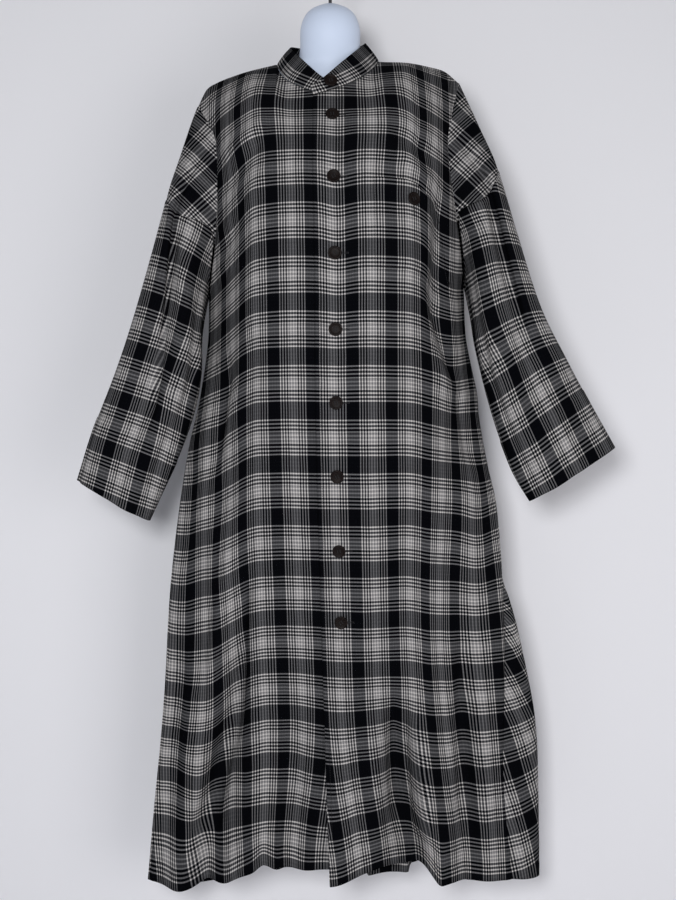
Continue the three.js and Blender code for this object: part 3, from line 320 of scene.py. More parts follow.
def reach_along(points, axis):
    """Distance walked along an axis of a grid, from 0 at its start."""
    steps = np.cumsum(np.linalg.norm(np.diff(points, axis=axis), axis=-1), axis)
    start = np.zeros_like(np.take(steps, [0], axis))
    return np.concatenate([start, steps], axis)


def reach_back(grid):
    """Distance left along each column of a grid, down to 0 at its last row."""
    steps = np.linalg.norm(np.diff(grid, axis=1), axis=2)
    return np.concatenate([np.cumsum(steps[:, ::-1], 1)[:, ::-1], np.zeros((len(grid), 1))], 1)


def point_on(rows, by, at):
    return np.stack([along(rows, by, key, at) for key in ("x", "y", "h")], -1)


def even_steps(curve, count, samples=96):
    """Parameters that divide a curve into the given number of equally long steps."""
    q = np.linspace(0, 1, samples + 1)
    lengths = np.concatenate([[0], np.cumsum(np.linalg.norm(np.diff(curve(q), axis=0), axis=1))])
    return np.interp(np.linspace(0, lengths[-1], count + 1), lengths, q)


def spread(curve, count):
    return curve(even_steps(curve, count))


def unit(v):
    return v / np.maximum(np.linalg.norm(v, axis=-1, keepdims=True), 1e-9)


def grid_normals(grid, closed=False, flip=False):
    """Outward directions of a grid of columns, from the points around each point."""
    if closed:
        across = np.roll(grid, -1, 0) - np.roll(grid, 1, 0)
    else:
        n = len(grid)
        ids = np.arange(n)
        across = grid[np.minimum(ids + 1, n - 1)] - grid[np.maximum(ids - 1, 0)]
    m = grid.shape[1]
    ids = np.arange(m)
    up = grid[:, np.minimum(ids + 1, m - 1)] - grid[:, np.maximum(ids - 1, 0)]
    return unit(np.cross(across, up)) * (-1 if flip else 1)


# ------------------------------------------------------------------ the worn surface

# Rounds in which a height and the sag at that height settle on each other.
SETTLE = 16
SIDES = {
    "right": {
        "sign": -1, "seam": RIGHT_SEAM, "armhole": RIGHT_ARMHOLE, "shoulder": RIGHT_SHOULDER,
        "drops": RIGHT_DROP, "share": "right", "neckline": RIGHT_NECKLINE,
        "collar": RIGHT_COLLAR_TOP, "underarm": 915.0, "tip": 1214.0, "drop_columns": 8,
        "drop_roundness": 2.0,
    },
    "left": {
        "sign": 1, "seam": LEFT_SEAM, "armhole": LEFT_ARMHOLE, "shoulder": LEFT_SHOULDER,
        "drops": LEFT_DROP, "share": "left", "neckline": LEFT_NECKLINE,
        "collar": LEFT_COLLAR_TOP, "underarm": 925.0, "tip": 1251.0, "drop_columns": 7,
        "drop_roundness": 2.5,
    },
}


def drop_at(side, level, x):
    share = along(DROP_SHARES, "level", side["share"], level)
    return along(side["drops"], "x", "drop", np.abs(x)) * share


def edge_point(side, face, h):
    h = np.asarray(h, float)
    below = h <= side["underarm"]
    back = "Back" if face == "back" else "Front"
    x = np.where(
        below, along(side["seam"], "h", "x", h), along(side["armhole"], "h", "x" + back, h)
    )
    y = np.where(
        below, along(side["seam"], "h", "y", h), along(side["armhole"], "h", "y" + back, h)
    )
    return np.stack([side["sign"] * x, y, h], -1)


def edge_height(side, level):
    h = np.asarray(level, float)
    for _ in range(SETTLE):
        h = level - drop_at(side, level, edge_point(side, "front", h)[..., 0])
    return h


def body_point(side, face, level, edge, x):
    """Points of the body at a level of the cloth and places across it, before folds."""
    front = face == "front"
    middle_x = along(MIDDLE, "h", "buttonX", level) if front else 0.0
    middle_y = along(MIDDLE, "h", "yFront" if front else "yBack", level)
    power = along(MIDDLE, "h", "frontPower" if front else "backPower", level)
    share = np.clip(np.abs((x - middle_x) / (edge[0] - middle_x)), 0, 1)
    y = edge[1] + (middle_y - edge[1]) * (1 - share**power)
    return np.stack([x, y, level - drop_at(side, level, share * edge[0])], -1)


def row_levels(side, fine):
    x = edge_point(side, "front", side["underarm"])[0]
    underarm = side["underarm"]
    for _ in range(SETTLE):
        underarm = side["underarm"] + drop_at(side, underarm, x)
    low = np.linspace(HEM_LEVEL, underarm, HEM_ROWS * fine + 1)
    return np.concatenate([low, np.linspace(underarm, CHEST_LEVEL, ARMHOLE_ROWS * fine + 1)[1:]])


def half_panel(side, face, neck_columns, start_turn, fine):
    """Half a panel from its middle edge to its side, with the levels of its rows up to the chest.
    """
    neck_n, shoulder_n = neck_columns * fine, SHOULDER_COLUMNS * fine
    count = neck_n + shoulder_n
    sign = side["sign"]
    levels = row_levels(side, FINE_ROWS)
    edges = edge_point(side, face, edge_height(side, levels))
    rows = []
    for level, edge in zip(levels, edges):
        end = edge[0]
        start = along(MIDDLE, "h", "buttonX", level) - sign * PLACKET if face == "front" else 0.0
        rows.append(
            spread(lambda q: body_point(side, face, level, edge, start + (end - start) * q), count)
        )
    body = np.stack(rows, 1)

    steps = even_steps(
        lambda q: point_on(side["neckline"], "turn", start_turn + (90 * sign - start_turn) * q),
        neck_n,
    )
    turns = start_turn + (90 * sign - start_turn) * steps
    neck = point_on(side["neckline"], "turn", turns)
    seam = spread(lambda q: point_on(side["shoulder"], "share", q), shoulder_n)
    top = np.concatenate([neck, seam[1:]])

    chest, below = body[:, -1], body[:, -1 - FINE_ROWS]
    number = (np.arange(count + 1) - neck_n) / fine
    from_middle = np.full(count + 1, 90.0)
    from_middle[: neck_n + 1] = turns if face == "front" else 180 - np.abs(turns)
    to_back, at_middle, at_side = (1, 26, 58) if face == "front" else (-1, 20, 74)
    at_neck = at_middle + (at_side - at_middle) * np.minimum(np.abs(from_middle) / 90, 1) ** 2
    lean = np.where(number > 0, at_side + (82 - at_side) * ease(number / 3), at_neck)
    angle = np.radians(lean)
    landing = np.stack([0 * angle, to_back * np.sin(angle), np.cos(angle)], -1)
    reach = 0.4 * np.linalg.norm(top - chest, axis=1)[:, None]
    climb = unit(chest - below) * reach
    weight = np.maximum(number / SHOULDER_COLUMNS, 0)[:, None] ** 2
    yoke = []
    last = YOKE_ROWS * FINE_ROWS
    for j in range(1, last + 1):
        t = j / last
        row = (
            (1 - t) ** 3 * chest
            + 3 * (1 - t) ** 2 * t * (chest + climb)
            + 3 * (1 - t) * t**2 * (top - landing * reach)
            + t**3 * top
        )
        height = chest[-1, 2] + (side["tip"] - chest[-1, 2]) * t
        pull = edge_point(side, face, height) - row[-1]
        yoke.append(row if j == last else row + pull * weight)
    grid = np.concatenate([body, np.stack(yoke, 1)], 1)
    return grid, levels


def fold_depth(folds, x, h):
    depth = np.zeros_like(x)
    for f in each(folds):
        run = np.clip((f["top"] - h) / (f["top"] - f["end"]), 0, 1)
        offset = x - (f["xTop"] + (f["xEnd"] - f["xTop"]) * run)
        reach = np.where(offset < 0, f["before"], f["after"])
        across = np.minimum(np.abs(offset) / reach, 1)
        fade = ease((1 - run) / 0.35) if f["end"] > 0 else 1.0
        depth += f["depth"] * 0.5 * (1 + np.cos(np.pi * across)) * ease(run / 0.55) * fade
    return depth


def crease_depth(creases, x, h):
    """Soft troughs and ridges along slightly bowed lines, fading towards both ends."""
    depth = np.zeros_like(x)
    for c in each(creases):
        dx, dh = c["x2"] - c["x1"], c["h2"] - c["h1"]
        length = math.hypot(dx, dh)
        run = ((x - c["x1"]) * dx + (h - c["h1"]) * dh) / length**2
        aside = ((x - c["x1"]) * -dh + (h - c["h1"]) * dx) / length
        aside = aside - c["bow"] * 4 * run * (1 - run)
        width = np.where(aside < 0, c["left"], c["right"]) * (0.8 + 0.5 * np.clip(run, 0, 1))
        fade = ease(run / 0.3) * ease((1.0 - run) / 0.3)
        depth += c["depth"] * np.exp(-((aside / width) ** 2)) * fade
    return depth


# How far the rows (up) and columns (out) of the check lie off the plain pattern of the cloth
# around a place on the front, each fading over a width and a height.
DRIFT_NAMES = "x h wide tall up out"
FRONT_DRIFT = table(
    DRIFT_NAMES,
    (12, 1020, 22, 170, 6, 0),
    (-140, 1000, 40, 130, 6, 0),
    (146, 1060, 20, 150, -10, 0),
    (190, 880, 24, 150, 9, 0),
    (228, 560, 26, 130, 10, 0),
    (-106, 190, 34, 180, -15, 0),
    (-50, 230, 50, 170, -9, 0),
    (-150, 160, 22, 80, -9, 0),
    (-185, 300, 18, 90, 5, 0),
    (-200, 480, 24, 120, -6, 0),
    (-200, 160, 24, 60, 8, 0),
    (80, 200, 46, 120, -8, 0),
    (185, 850, 30, 130, 4, -9),
    (110, 1170, 60, 60, 0, -7),
    (190, 430, 55, 190, 0, 17),
    (90, 20, 190, 150, 0, -19),
    (-35, 30, 60, 130, 0, -16),
    (-205, 400, 45, 220, 0, 15),
    (-120, 1195, 55, 55, 0, -10),
)
# Ripples of the front's hem: place, half width and rise.
HEM_RIPPLES = table(
    "x wide rise",
    (-240, 16, -3), (-198, 15, 10), (-162, 14, -3), (-103, 11, 9), (-82, 9, -3), (-44, 20, -5),
    (84, 24, 4), (149, 13, 13), (168, 10, -5), (206, 26, 3),
)
HEM_RIPPLE_HEIGHT = 110.0
CREASE_STRENGTH = 1.5
# How far the back swells out behind the sleeves at a height.
BACK_SWELL = table(
    "h out", (560, 0), (640, 3), (700, 9), (760, 13), (830, 12), (880, 7), (915, 0), (960, 0)
)
YOKE_STRETCH = {"from": 1145.0, "over": 50.0, "up": 8.5}
BACK_ROLL_SLANT = 20.0
ROLL_LEAN = -0.2
# The back's hem rises beside its fold, so that the front's notch stays open.
BACK_NOTCH = {"x": 154, "wide": 22, "rise": 34}
ROLL_LEAN_TOP = 560.0

# Long shallow waves that keep the cloth from lying dead flat: wavelengths across and down,
# slant, phase and height of each.
WAVES = table(
    "across down slant phase height",
    (170, 900, 0.10, 0.4, 0.9), (97, 620, -0.16, 2.1, 0.6), (61, 410, 0.22, 4.0, 0.35),
    (240, 330, -0.35, 1.2, 0.7), (43, 300, 0.05, 5.2, 0.22),
)


def waves(x, h, seed):
    total = np.zeros_like(x)
    for w in each(WAVES):
        a = 2 * np.pi * (x + w["slant"] * h) / w["across"] + w["phase"] * (1 + seed)
        b = 2 * np.pi * h / w["down"] + 1.7 * w["phase"] + seed
        total += w["height"] * np.sin(a) * np.sin(b)
    return total


def drift(rows, x, h):
    up, out = np.zeros_like(x), np.zeros_like(x)
    for d in each(rows):
        near = np.exp(-(((x - d["x"]) / d["wide"]) ** 2) - ((h - d["h"]) / d["tall"]) ** 2)
        up += d["up"] * near
        out += d["out"] * near
    return np.stack([out, up], -1)


def panel_mask(count, rows, side_reach=0.14, top_reach=0.2):
    """1 on a half panel, falling to 0 at its side, shoulder and neck seams."""
    from_side = (count - np.arange(count + 1)) / count
    from_top = (rows - 1 - np.arange(rows)) / rows
    return ease(from_side[:, None] / side_reach) * ease(from_top[None, :] / top_reach)


def cloth_coordinates(grid, levels, sign):
    """Place of each point in the flat cloth: across from the middle edge, and up."""
    chest = len(levels) - 1
    u = reach_along(grid, 0)
    order = np.argsort(grid[:, chest, 0])
    for j in range(chest + 1, grid.shape[1]):
        u[:, j] = np.interp(grid[:, j, 0], grid[order, chest, 0], u[order, chest])
        low, high = grid[order[0], chest, 0], grid[order[-1], chest, 0]
        past_high = np.maximum(grid[:, j, 0] - high, 0)
        past_low = np.maximum(low - grid[:, j, 0], 0)
        beyond, before = (past_high, past_low) if sign > 0 else (past_low, past_high)
        u[:, j] += beyond - before
    v = np.zeros_like(u)
    v[:, : chest + 1] = levels
    rise = np.linalg.norm(np.diff(grid[:, chest:, 1:], axis=1), axis=2)
    v[:, chest + 1 :] = CHEST_LEVEL + np.cumsum(rise, 1)
    return np.stack([u, v], -1)

# ------------------------------------------------------------------ panels


def front_panel(side, on_top):
    sign = side["sign"]
    grid, levels = half_panel(side, "front", NECK_COLUMNS, -sign * OVERLAP_TURN, FINE_COLUMNS)
    flip = sign < 0
    count, rows = len(grid) - 1, grid.shape[1]
    mask = panel_mask(count, rows)
    plain = grid.copy()
    flat = cloth_coordinates(grid, levels, sign) + drift(FRONT_DRIFT, grid[..., 0], grid[..., 2])
    stretch = ease((grid[..., 2] - YOKE_STRETCH["from"]) / YOKE_STRETCH["over"])
    flat[..., 1] += YOKE_STRETCH["up"] * stretch
    depth = fold_depth(FRONT_FOLDS, grid[..., 0], grid[..., 2]) * mask
    grid = grid + grid_normals(grid, False, flip) * depth[..., None]
    fine = CREASE_STRENGTH * crease_depth(FRONT_CREASES, plain[..., 0], plain[..., 2])
    fine += waves(plain[..., 0], plain[..., 2], 0.3 if on_top else 1.4)
    near_edge = ease(flat[..., 0] / 40)
    soft = panel_mask(count, rows, *NARROW_EDGE) * (0.35 + 0.65 * near_edge)
    grid = grid + grid_normals(grid, False, flip) * (fine * soft)[..., None]
    ripple = np.zeros_like(depth)
    for r in each(HEM_RIPPLES):
        ripple += r["rise"] * np.exp(-(((plain[..., 0] - r["x"]) / r["wide"]) ** 2))
    low = np.arange(rows)[None, :] < HEM_ROWS * FINE_ROWS
    fade = ease((HEM_RIPPLE_HEIGHT - plain[..., 2]) / (HEM_RIPPLE_HEIGHT - HEM_LEVEL))
    grid[..., 2] += np.where(low, ripple * fade, 0)
    if on_top:
        past = grid[..., 0] - along(MIDDLE, "h", "buttonX", grid[..., 2])
        lift = LAYER_STEP * (1 - ease((past - PLACKET - 6) / 40))
        flap = ease((FLAP["top"] - grid[..., 2]) / FLAP["top"])
        flap = flap * (1 - ease((past + PLACKET) / FLAP["reach"]))
        grid[..., 1] -= lift + FLAP["forward"] * flap
        grid[..., 2] -= np.where(low, FLAP["lower"] * flap * flap, 0)
    return grid, flat


def back_panel():
    right, levels = half_panel(
        SIDES["right"], "back", BACK_NECK_COLUMNS // 2, -180.0, FINE_BACK_COLUMNS
    )
    left, _ = half_panel(SIDES["left"], "back", BACK_NECK_COLUMNS // 2, 180.0, FINE_BACK_COLUMNS)
    centre = (right[0] + left[0]) / 2
    middle = len(left) - 1
    grid = np.concatenate([left[::-1][:-1], centre[None], right[1:]])
    rows = grid.shape[1]
    half_mask = panel_mask(middle, rows)
    mask = np.concatenate([half_mask[::-1][:-1], half_mask])
    plain = grid.copy()
    share = np.arange(len(grid)) / (ROLL_SHARE * middle)
    swell = np.where(share < 1, np.sin(np.pi * np.clip(share, 0, 1) ** 0.72), 0)
    swell = swell[:, None] * along(LEFT_ROLL, "h", "out", grid[..., 2])
    rolled = grid.copy()
    rolled[..., 0] += swell
    depth = fold_depth(BACK_FOLDS, grid[..., 0], grid[..., 2]) * mask
    grid = grid + grid_normals(grid) * depth[..., None]
    across = reach_along(rolled, 0)
    chest = len(levels) - 1
    order = np.argsort(grid[:, chest, 0])
    across -= across[middle][None, :]
    for j in range(chest + 1, rows):
        across[:, j] = np.interp(grid[:, j, 0], grid[order, chest, 0], across[order, chest])
        beyond = np.abs(grid[:, j, 0]) - np.abs(grid[[0, -1], chest, 0]).min()
        across[:, j] -= np.sign(grid[:, j, 0]) * np.maximum(beyond, 0)
    up = np.zeros_like(across)
    levels_left = row_levels(SIDES["left"], FINE_ROWS)
    share = (np.sign(np.arange(len(grid)) - middle)[:, None] + 1) / 2
    up[:, : chest + 1] = levels_left[None, :] * (1 - share) + levels[None, :] * share
    rise = np.linalg.norm(np.diff(grid[:, chest:, 1:], axis=1), axis=2)
    up[:, chest + 1 :] = CHEST_LEVEL + np.cumsum(rise, 1)
    up -= BACK_ROLL_SLANT * swell / LEFT_ROLL["out"].max()
    lean = 1 - ease(np.arange(len(grid)) / (0.6 * middle))
    across += ROLL_LEAN * np.maximum(ROLL_LEAN_TOP - up, 0) * lean[:, None]
    flat = np.stack([across, up], -1)
    fine = CREASE_STRENGTH * crease_depth(BACK_CREASES, plain[..., 0], plain[..., 2])
    fine += waves(plain[..., 0], plain[..., 2], 2.2)
    narrow = panel_mask(middle, rows, *NARROW_EDGE)
    narrow = np.concatenate([narrow[::-1][:-1], narrow])
    grid = grid + grid_normals(grid) * (fine * narrow)[..., None]
    aside = np.abs(np.arange(len(grid)) - middle)[:, None] / middle
    dip = ease((BACK_HEM["top"] - grid[..., 2]) / BACK_HEM["top"]) * (1 - aside**3)
    grid[..., 2] -= BACK_HEM["lower"] * dip
    shown = grid[..., 0] - BACK_FOLD["start"]
    across = ease(shown / BACK_FOLD["rise"])
    across *= ease((BACK_FOLD["width"] - shown) / BACK_FOLD["fall"])
    below = ease((BACK_FOLD["top"] - grid[..., 2]) / BACK_FOLD["top"])
    grid[..., 1] -= BACK_FOLD["forward"] * across * below
    grid[..., 2] -= (BACK_FOLD["lower"] - BACK_FOLD["slope"] * shown) * across * below**2
    beside_fold = np.exp(-(((grid[..., 0] - BACK_NOTCH["x"]) / BACK_NOTCH["wide"]) ** 2))
    grid[..., 2] += BACK_NOTCH["rise"] * beside_fold * below**2
    near_side = (aside - (1 - ROLL_SHARE)) / ROLL_SHARE
    beside = np.where(near_side > 0, np.sin(np.pi * np.clip(near_side, 0, 1) ** 1.6), 0)
    spread_out = beside * along(BACK_SWELL, "h", "out", grid[..., 2])
    grid[..., 0] += swell + np.sign(grid[..., 0]) * spread_out
    return grid, flat


# ------------------------------------------------------------------ arms


def arm(side, sections, folds, seed):
    """The whole arm from the cuff to the armhole: above the sleeve seam it is the dropped
    shoulder of the panels, and below it the sleeve."""
    sign = side["sign"]
    front, _ = half_panel(side, "front", NECK_COLUMNS, -sign * OVERLAP_TURN, 1)
    back, _ = half_panel(side, "back", BACK_NECK_COLUMNS // 2, 180.0 * sign, 1)
    low = HEM_ROWS * FINE_ROWS
    edge = np.concatenate([front[-1, low:][::-1], back[-1, low + 1 : -1]])
    count = len(edge)
    underarm = count // 2
    steps = np.linalg.norm(np.roll(edge, -1, 0) - edge, axis=1)
    lengths = np.concatenate([[0], np.cumsum(steps)])
    m = np.arange(count)
    angles = np.where(
        m <= underarm,
        np.pi * lengths[:-1] / lengths[underarm],
        np.pi * (1 + (lengths[:-1] - lengths[underarm]) / (lengths[-1] - lengths[underarm])),
    )
    drop = side["drop_columns"] * FINE_ROWS
    from_shoulder = np.minimum(m, count - m) / drop
    seam_at = DROP_REACH * (1 - np.minimum(from_shoulder, 1) ** side["drop_roundness"])
    below_rows, above_rows = SLEEVE_ROWS * FINE_SLEEVE_ROWS, DROP_ROWS * FINE_DROP_ROWS
    k = np.arange(below_rows + above_rows + 1)
    below = 1 - np.minimum(k / below_rows, 1)
    above = np.maximum(k - below_rows, 0) / above_rows
    t = seam_at[:, None] * (1 - above)[None, :] + (1 - seam_at[:, None]) * below[None, :]
    a = np.broadcast_to(angles[:, None], t.shape)
    value = {key: along(sections, "t", key, t) for key in sections}
    reach = 0.5 * (1 + np.cos(a))
    swell = np.sign(np.sin(a)) * np.abs(np.sin(a)) ** 0.85
    place = np.stack(
        [
            value["xIn"] + (value["xOut"] - value["xIn"]) * reach,
            value["yMid"] - value["depth"] * swell,
            value["hIn"] + (value["hOut"] - value["hIn"]) * reach,
        ],
        -1,
    )
    grid = place + (edge[:, None] - place) * (1 - ease(t / 0.24))[..., None]
    flip = sign > 0
    depth = np.zeros_like(t)
    for f in each(folds):
        run = np.clip((t - f["start"]) / (f["end"] - f["start"]), 0, 1)
        centre = np.radians(f["angle"] + (f["angleEnd"] - f["angle"]) * run)
        across = np.minimum(np.abs(a - centre) / math.radians(f["width"]), 1)
        fade = ease(run / 0.3) * (1.0 if f["end"] > 1 else ease((1 - run) / 0.3))
        depth += f["depth"] * 0.5 * (1 + np.cos(np.pi * across)) * fade
    grid = grid + grid_normals(grid, True, flip) * depth[..., None]

    # Cloth coordinates: away from the outer fold, square to the sleeve, and along it with rows
    # that run parallel to the cuff.
    lean = SLEEVE_LEAN["right" if sign < 0 else "left"]
    inward = along(lean, "h", "x", grid[..., 2]) - np.abs(grid[..., 0])
    bend = SLEEVE_BEND * np.logaddexp(0, inward / SLEEVE_BEND)
    outer = np.tan(np.radians(along(lean, "h", "outer", grid[..., 2])))
    inner = np.tan(np.radians(along(lean, "h", "inner", grid[..., 2])))
    up = (grid[..., 2] + outer * inward + (inner - outer) * bend) * SLEEVE_ROW_SCALE
    tangent = unit(grid[:1, -1] - grid[:1, 0])
    step = np.diff(grid, axis=0)
    aside = np.linalg.norm(step - (step @ tangent[0])[..., None] * tangent[0], axis=2)
    across = np.concatenate([np.zeros((1, t.shape[1])), np.cumsum(aside, 0)])
    closing = grid[:1] - grid[-1:]
    last = np.linalg.norm(closing - (closing @ tangent[0])[..., None] * tangent[0], axis=2)
    girth = across[-1:] + last
    across = np.where((m <= underarm)[:, None], across, across - girth)
    flat = np.stack([across, up], -1)
    underarm_back = np.stack([across[underarm] - girth[0], up[underarm]], -1)

    creases = np.zeros_like(t)
    for f in each(SLEEVE_CREASES["right" if sign < 0 else "left"]):
        run = (t - f["start"]) / (f["end"] - f["start"])
        centre = np.radians(f["angle"] + (f["angleEnd"] - f["angle"]) * np.clip(run, 0, 1))
        apart = np.angle(np.exp(1j * (a - centre)))
        fade = ease(run / 0.25) * ease((1 - run) / 0.25)
        creases += f["depth"] * np.exp(-((apart / math.radians(f["width"])) ** 2)) * fade
    creases += 0.8 * waves(flat[..., 0] * 0.8, flat[..., 1], seed)
    creases *= ease(t / 0.1)
    grid = grid + grid_normals(grid, True, flip) * creases[..., None]
    return {
        "grid": grid, "flat": flat, "flat_back": underarm_back, "flip": flip,
        "underarm": underarm, "below": below_rows, "sign": sign, "drop": drop,
        "directions": grid_normals(grid, True, flip),
    }


# ------------------------------------------------------------------ meshes

SHIFT = np.array([0.0, -HOOK_Y, -HOOK_HEIGHT])


def new_object(name, points, faces, corners=None, smooth=True):
    """Mesh object from points in millimetres above the hem level; corners holds one cloth
    coordinate per face corner, in metres."""
    mesh = bpy.data.meshes.new(name)
    place = (np.asarray(points, float) + SHIFT) / 1000
    sizes = np.array([len(f) for f in faces])
    if isinstance(faces, np.ndarray):
        loops = faces.ravel()
    else:
        loops = np.concatenate([np.asarray(f) for f in faces])
    mesh.vertices.add(len(place))
    mesh.vertices.foreach_set("co", place.ravel())
    mesh.loops.add(len(loops))
    mesh.loops.foreach_set("vertex_index", loops.astype(np.int32))
    mesh.polygons.add(len(sizes))
    starts = np.concatenate([[0], np.cumsum(sizes)[:-1]])
    mesh.polygons.foreach_set("loop_start", starts.astype(np.int32))
    mesh.polygons.foreach_set("loop_total", sizes.astype(np.int32))
    mesh.update(calc_edges=True)
    mesh.polygons.foreach_set("use_smooth", np.full(len(sizes), smooth))
    if corners is not None:
        layer = mesh.uv_layers.new(name="cloth")
        layer.data.foreach_set("uv", np.asarray(corners, np.float32).ravel() / 1000)
    mesh.validate()
    obj = bpy.data.objects.new(name, mesh)
    bpy.context.scene.collection.objects.link(obj)
    return obj


def grid_faces(columns, rows, closed=False, flip=False, offset=0):
    i = np.arange(columns if closed else columns - 1)[:, None]
    j = np.arange(rows - 1)[None, :]
    a = i * rows + j
    b = ((i + 1) % columns) * rows + j
    order = (a, a + 1, b + 1, b) if flip else (a, b, b + 1, a + 1)
    return np.stack([np.broadcast_to(o, a.shape) for o in order], -1).reshape(-1, 4) + offset


def shell(
    name, points, directions, quads, corners, triangles=None, triangle_corners=None, thick=THICKNESS
):
    """Closed thin wall on a sheet of quads and a few triangles."""
    n = len(points)
    outer = points + directions * thick / 2
    inner = points - directions * thick / 2
    edges = np.concatenate([quads[:, [k, (k + 1) % 4]] for k in range(4)])
    where = np.concatenate([corners[:, k] for k in range(4)])
    where_end = np.concatenate([corners[:, (k + 1) % 4] for k in range(4)])
    if triangles is not None and len(triangles):
        edges = np.concatenate([edges] + [triangles[:, [k, (k + 1) % 3]] for k in range(3)])
        where = np.concatenate([where] + [triangle_corners[:, k] for k in range(3)])
        next_corners = [triangle_corners[:, (k + 1) % 3] for k in range(3)]
        where_end = np.concatenate([where_end] + next_corners)
    code = edges[:, 0].astype(np.int64) * n + edges[:, 1]
    back = edges[:, 1].astype(np.int64) * n + edges[:, 0]
    free = ~np.isin(code, back)
    rim = edges[free]
    rim_faces = np.stack([rim[:, 1], rim[:, 0], rim[:, 0] + n, rim[:, 1] + n], -1)
    rim_corners = np.stack([where_end[free], where[free], where[free], where_end[free]], 1)
    all_quads = np.concatenate([quads, quads[:, ::-1] + n, rim_faces])
    all_corners = np.concatenate([corners, corners[:, ::-1], rim_corners])
    faces = list(all_quads)
    uv = all_corners.reshape(-1, 2)
    if triangles is not None and len(triangles):
        faces += list(triangles) + list(triangles[:, ::-1] + n)
        inner_corners = triangle_corners[:, ::-1]
        uv = np.concatenate([uv, triangle_corners.reshape(-1, 2), inner_corners.reshape(-1, 2)])
    return new_object(name, np.concatenate([outer, inner]), faces, uv)


def seam_direction(points):
    depth = np.full(len(points), 32.0)
    spine = np.stack([points[:, 0] * 0.6, depth, np.minimum(points[:, 2], 1190)], -1)
    return unit(points - spine)


def wedge_coordinates(arm_part):
    """Cloth coordinates of the dropped shoulder: the panel's cloth turned onto the arm."""
    sign = arm_part["sign"]
    grid = arm_part["grid"]
    turn = math.radians(DROP_TURN)
    x, z = sign * grid[..., 0] - DROP_CORNER[0], grid[..., 2] - DROP_CORNER[1]
    across = x * math.cos(turn) - z * math.sin(turn)
    up = x * math.sin(turn) + z * math.cos(turn)
    return np.stack([across + DROP_CLOTH[0], up + DROP_CLOTH[1]], -1)


def panel_piece(name, grid, flat, flip, ends):
    """A panel with its dropped shoulders. ends lists for each worn side the panel's last
    column, the arm, the arm's column numbers from the shoulder down and their turn."""
    columns, rows = grid.shape[:2]
    top = rows - 1
    directions = grid_normals(grid, False, flip)
    directions[:, top] = unit(directions[:, top] + seam_direction(grid[:, top]))
    for at, part, _, _ in ends:
        drop = part["drop"]
        low = slice(0, top - drop + 1)
        directions[at, low] = unit(directions[at, low] + seam_direction(grid[at, low]))
        reach = reach_along(grid, 0)
        distance = np.abs(reach - reach[at][None, :])
        dip = -2.8 * np.exp(-((distance / 5.0) ** 2))
        dip += 0.6 * np.exp(-(((distance - 11) / 5.0) ** 2))
        dip[:, top - drop :] *= np.linspace(1, 0, drop + 1) ** 2
        grid = grid + directions * dip[..., None]
    rise = reach_back(grid)
    groove = -0.9 * np.exp(-((rise / 2.4) ** 2)) + 0.45 * np.exp(-(((rise - 6) / 3.2) ** 2))
    past_hem = reach_along(grid, 1) - HEM_DEPTH
    groove += 0.5 * (1 - ease(past_hem / 1.6)) - 0.35 * np.exp(-((past_hem / 2.0) ** 2))
    grid = grid + directions * groove[..., None]

    points = [grid.reshape(-1, 3)]
    normals = [directions.reshape(-1, 3)]
    quads = [grid_faces(columns, rows, False, flip)]
    flats = flat.reshape(-1, 2)
    corners = [flats[quads[0]]]
    triangles, triangle_corners = [], []
    size = columns * rows
    for at, part, numbers, turn in ends:
        cloth = wedge_coordinates(part)
        above = DROP_ROWS * FINE_DROP_ROWS
        drop = part["drop"]
        ids = np.zeros((drop + 1, above + 1), int)
        uv = np.zeros((drop + 1, above + 1, 2))
        fresh, fresh_normals = [], []
        for c, m in enumerate(numbers):
            joint = at * rows + top - c
            ids[c] = joint
            uv[c] = cloth[m, part["below"] :]
            if c == drop:
                continue
            ids[c, :above] = size + np.arange(above)
            size += above
            fresh.append(part["grid"][m, part["below"] : part["below"] + above])
            fresh_normals.append(part["directions"][m, part["below"] : part["below"] + above])
        fresh = np.stack(fresh)
        fresh_normals = np.stack(fresh_normals)
        edge_in = np.exp(-((np.arange(above) / 2.0) ** 2)) * -0.5
        fresh = fresh + fresh_normals * edge_in[None, :, None]
        points.append(fresh.reshape(-1, 3))
        normals.append(fresh_normals.reshape(-1, 3))
        for c in range(drop):
            q = np.stack([ids[c, :-1], ids[c + 1, :-1], ids[c + 1, 1:], ids[c, 1:]], -1)
            w = np.stack([uv[c, :-1], uv[c + 1, :-1], uv[c + 1, 1:], uv[c, 1:]], 1)
            if turn:
                q, w = q[:, ::-1], w[:, ::-1]
            if c < drop - 1:
                quads.append(q)
                corners.append(w)
            else:
                pick = [0, 2, 3] if turn else [0, 1, 3]
                triangles.append(q[:, pick])
                triangle_corners.append(w[:, pick])
    tri = np.concatenate(triangles)
    keep = (tri[:, 0] != tri[:, 1]) & (tri[:, 1] != tri[:, 2]) & (tri[:, 0] != tri[:, 2])
    return shell(
        name, np.concatenate(points), np.concatenate(normals),
        np.concatenate(quads), np.concatenate(corners),
        tri[keep], np.concatenate(triangle_corners)[keep],
    )


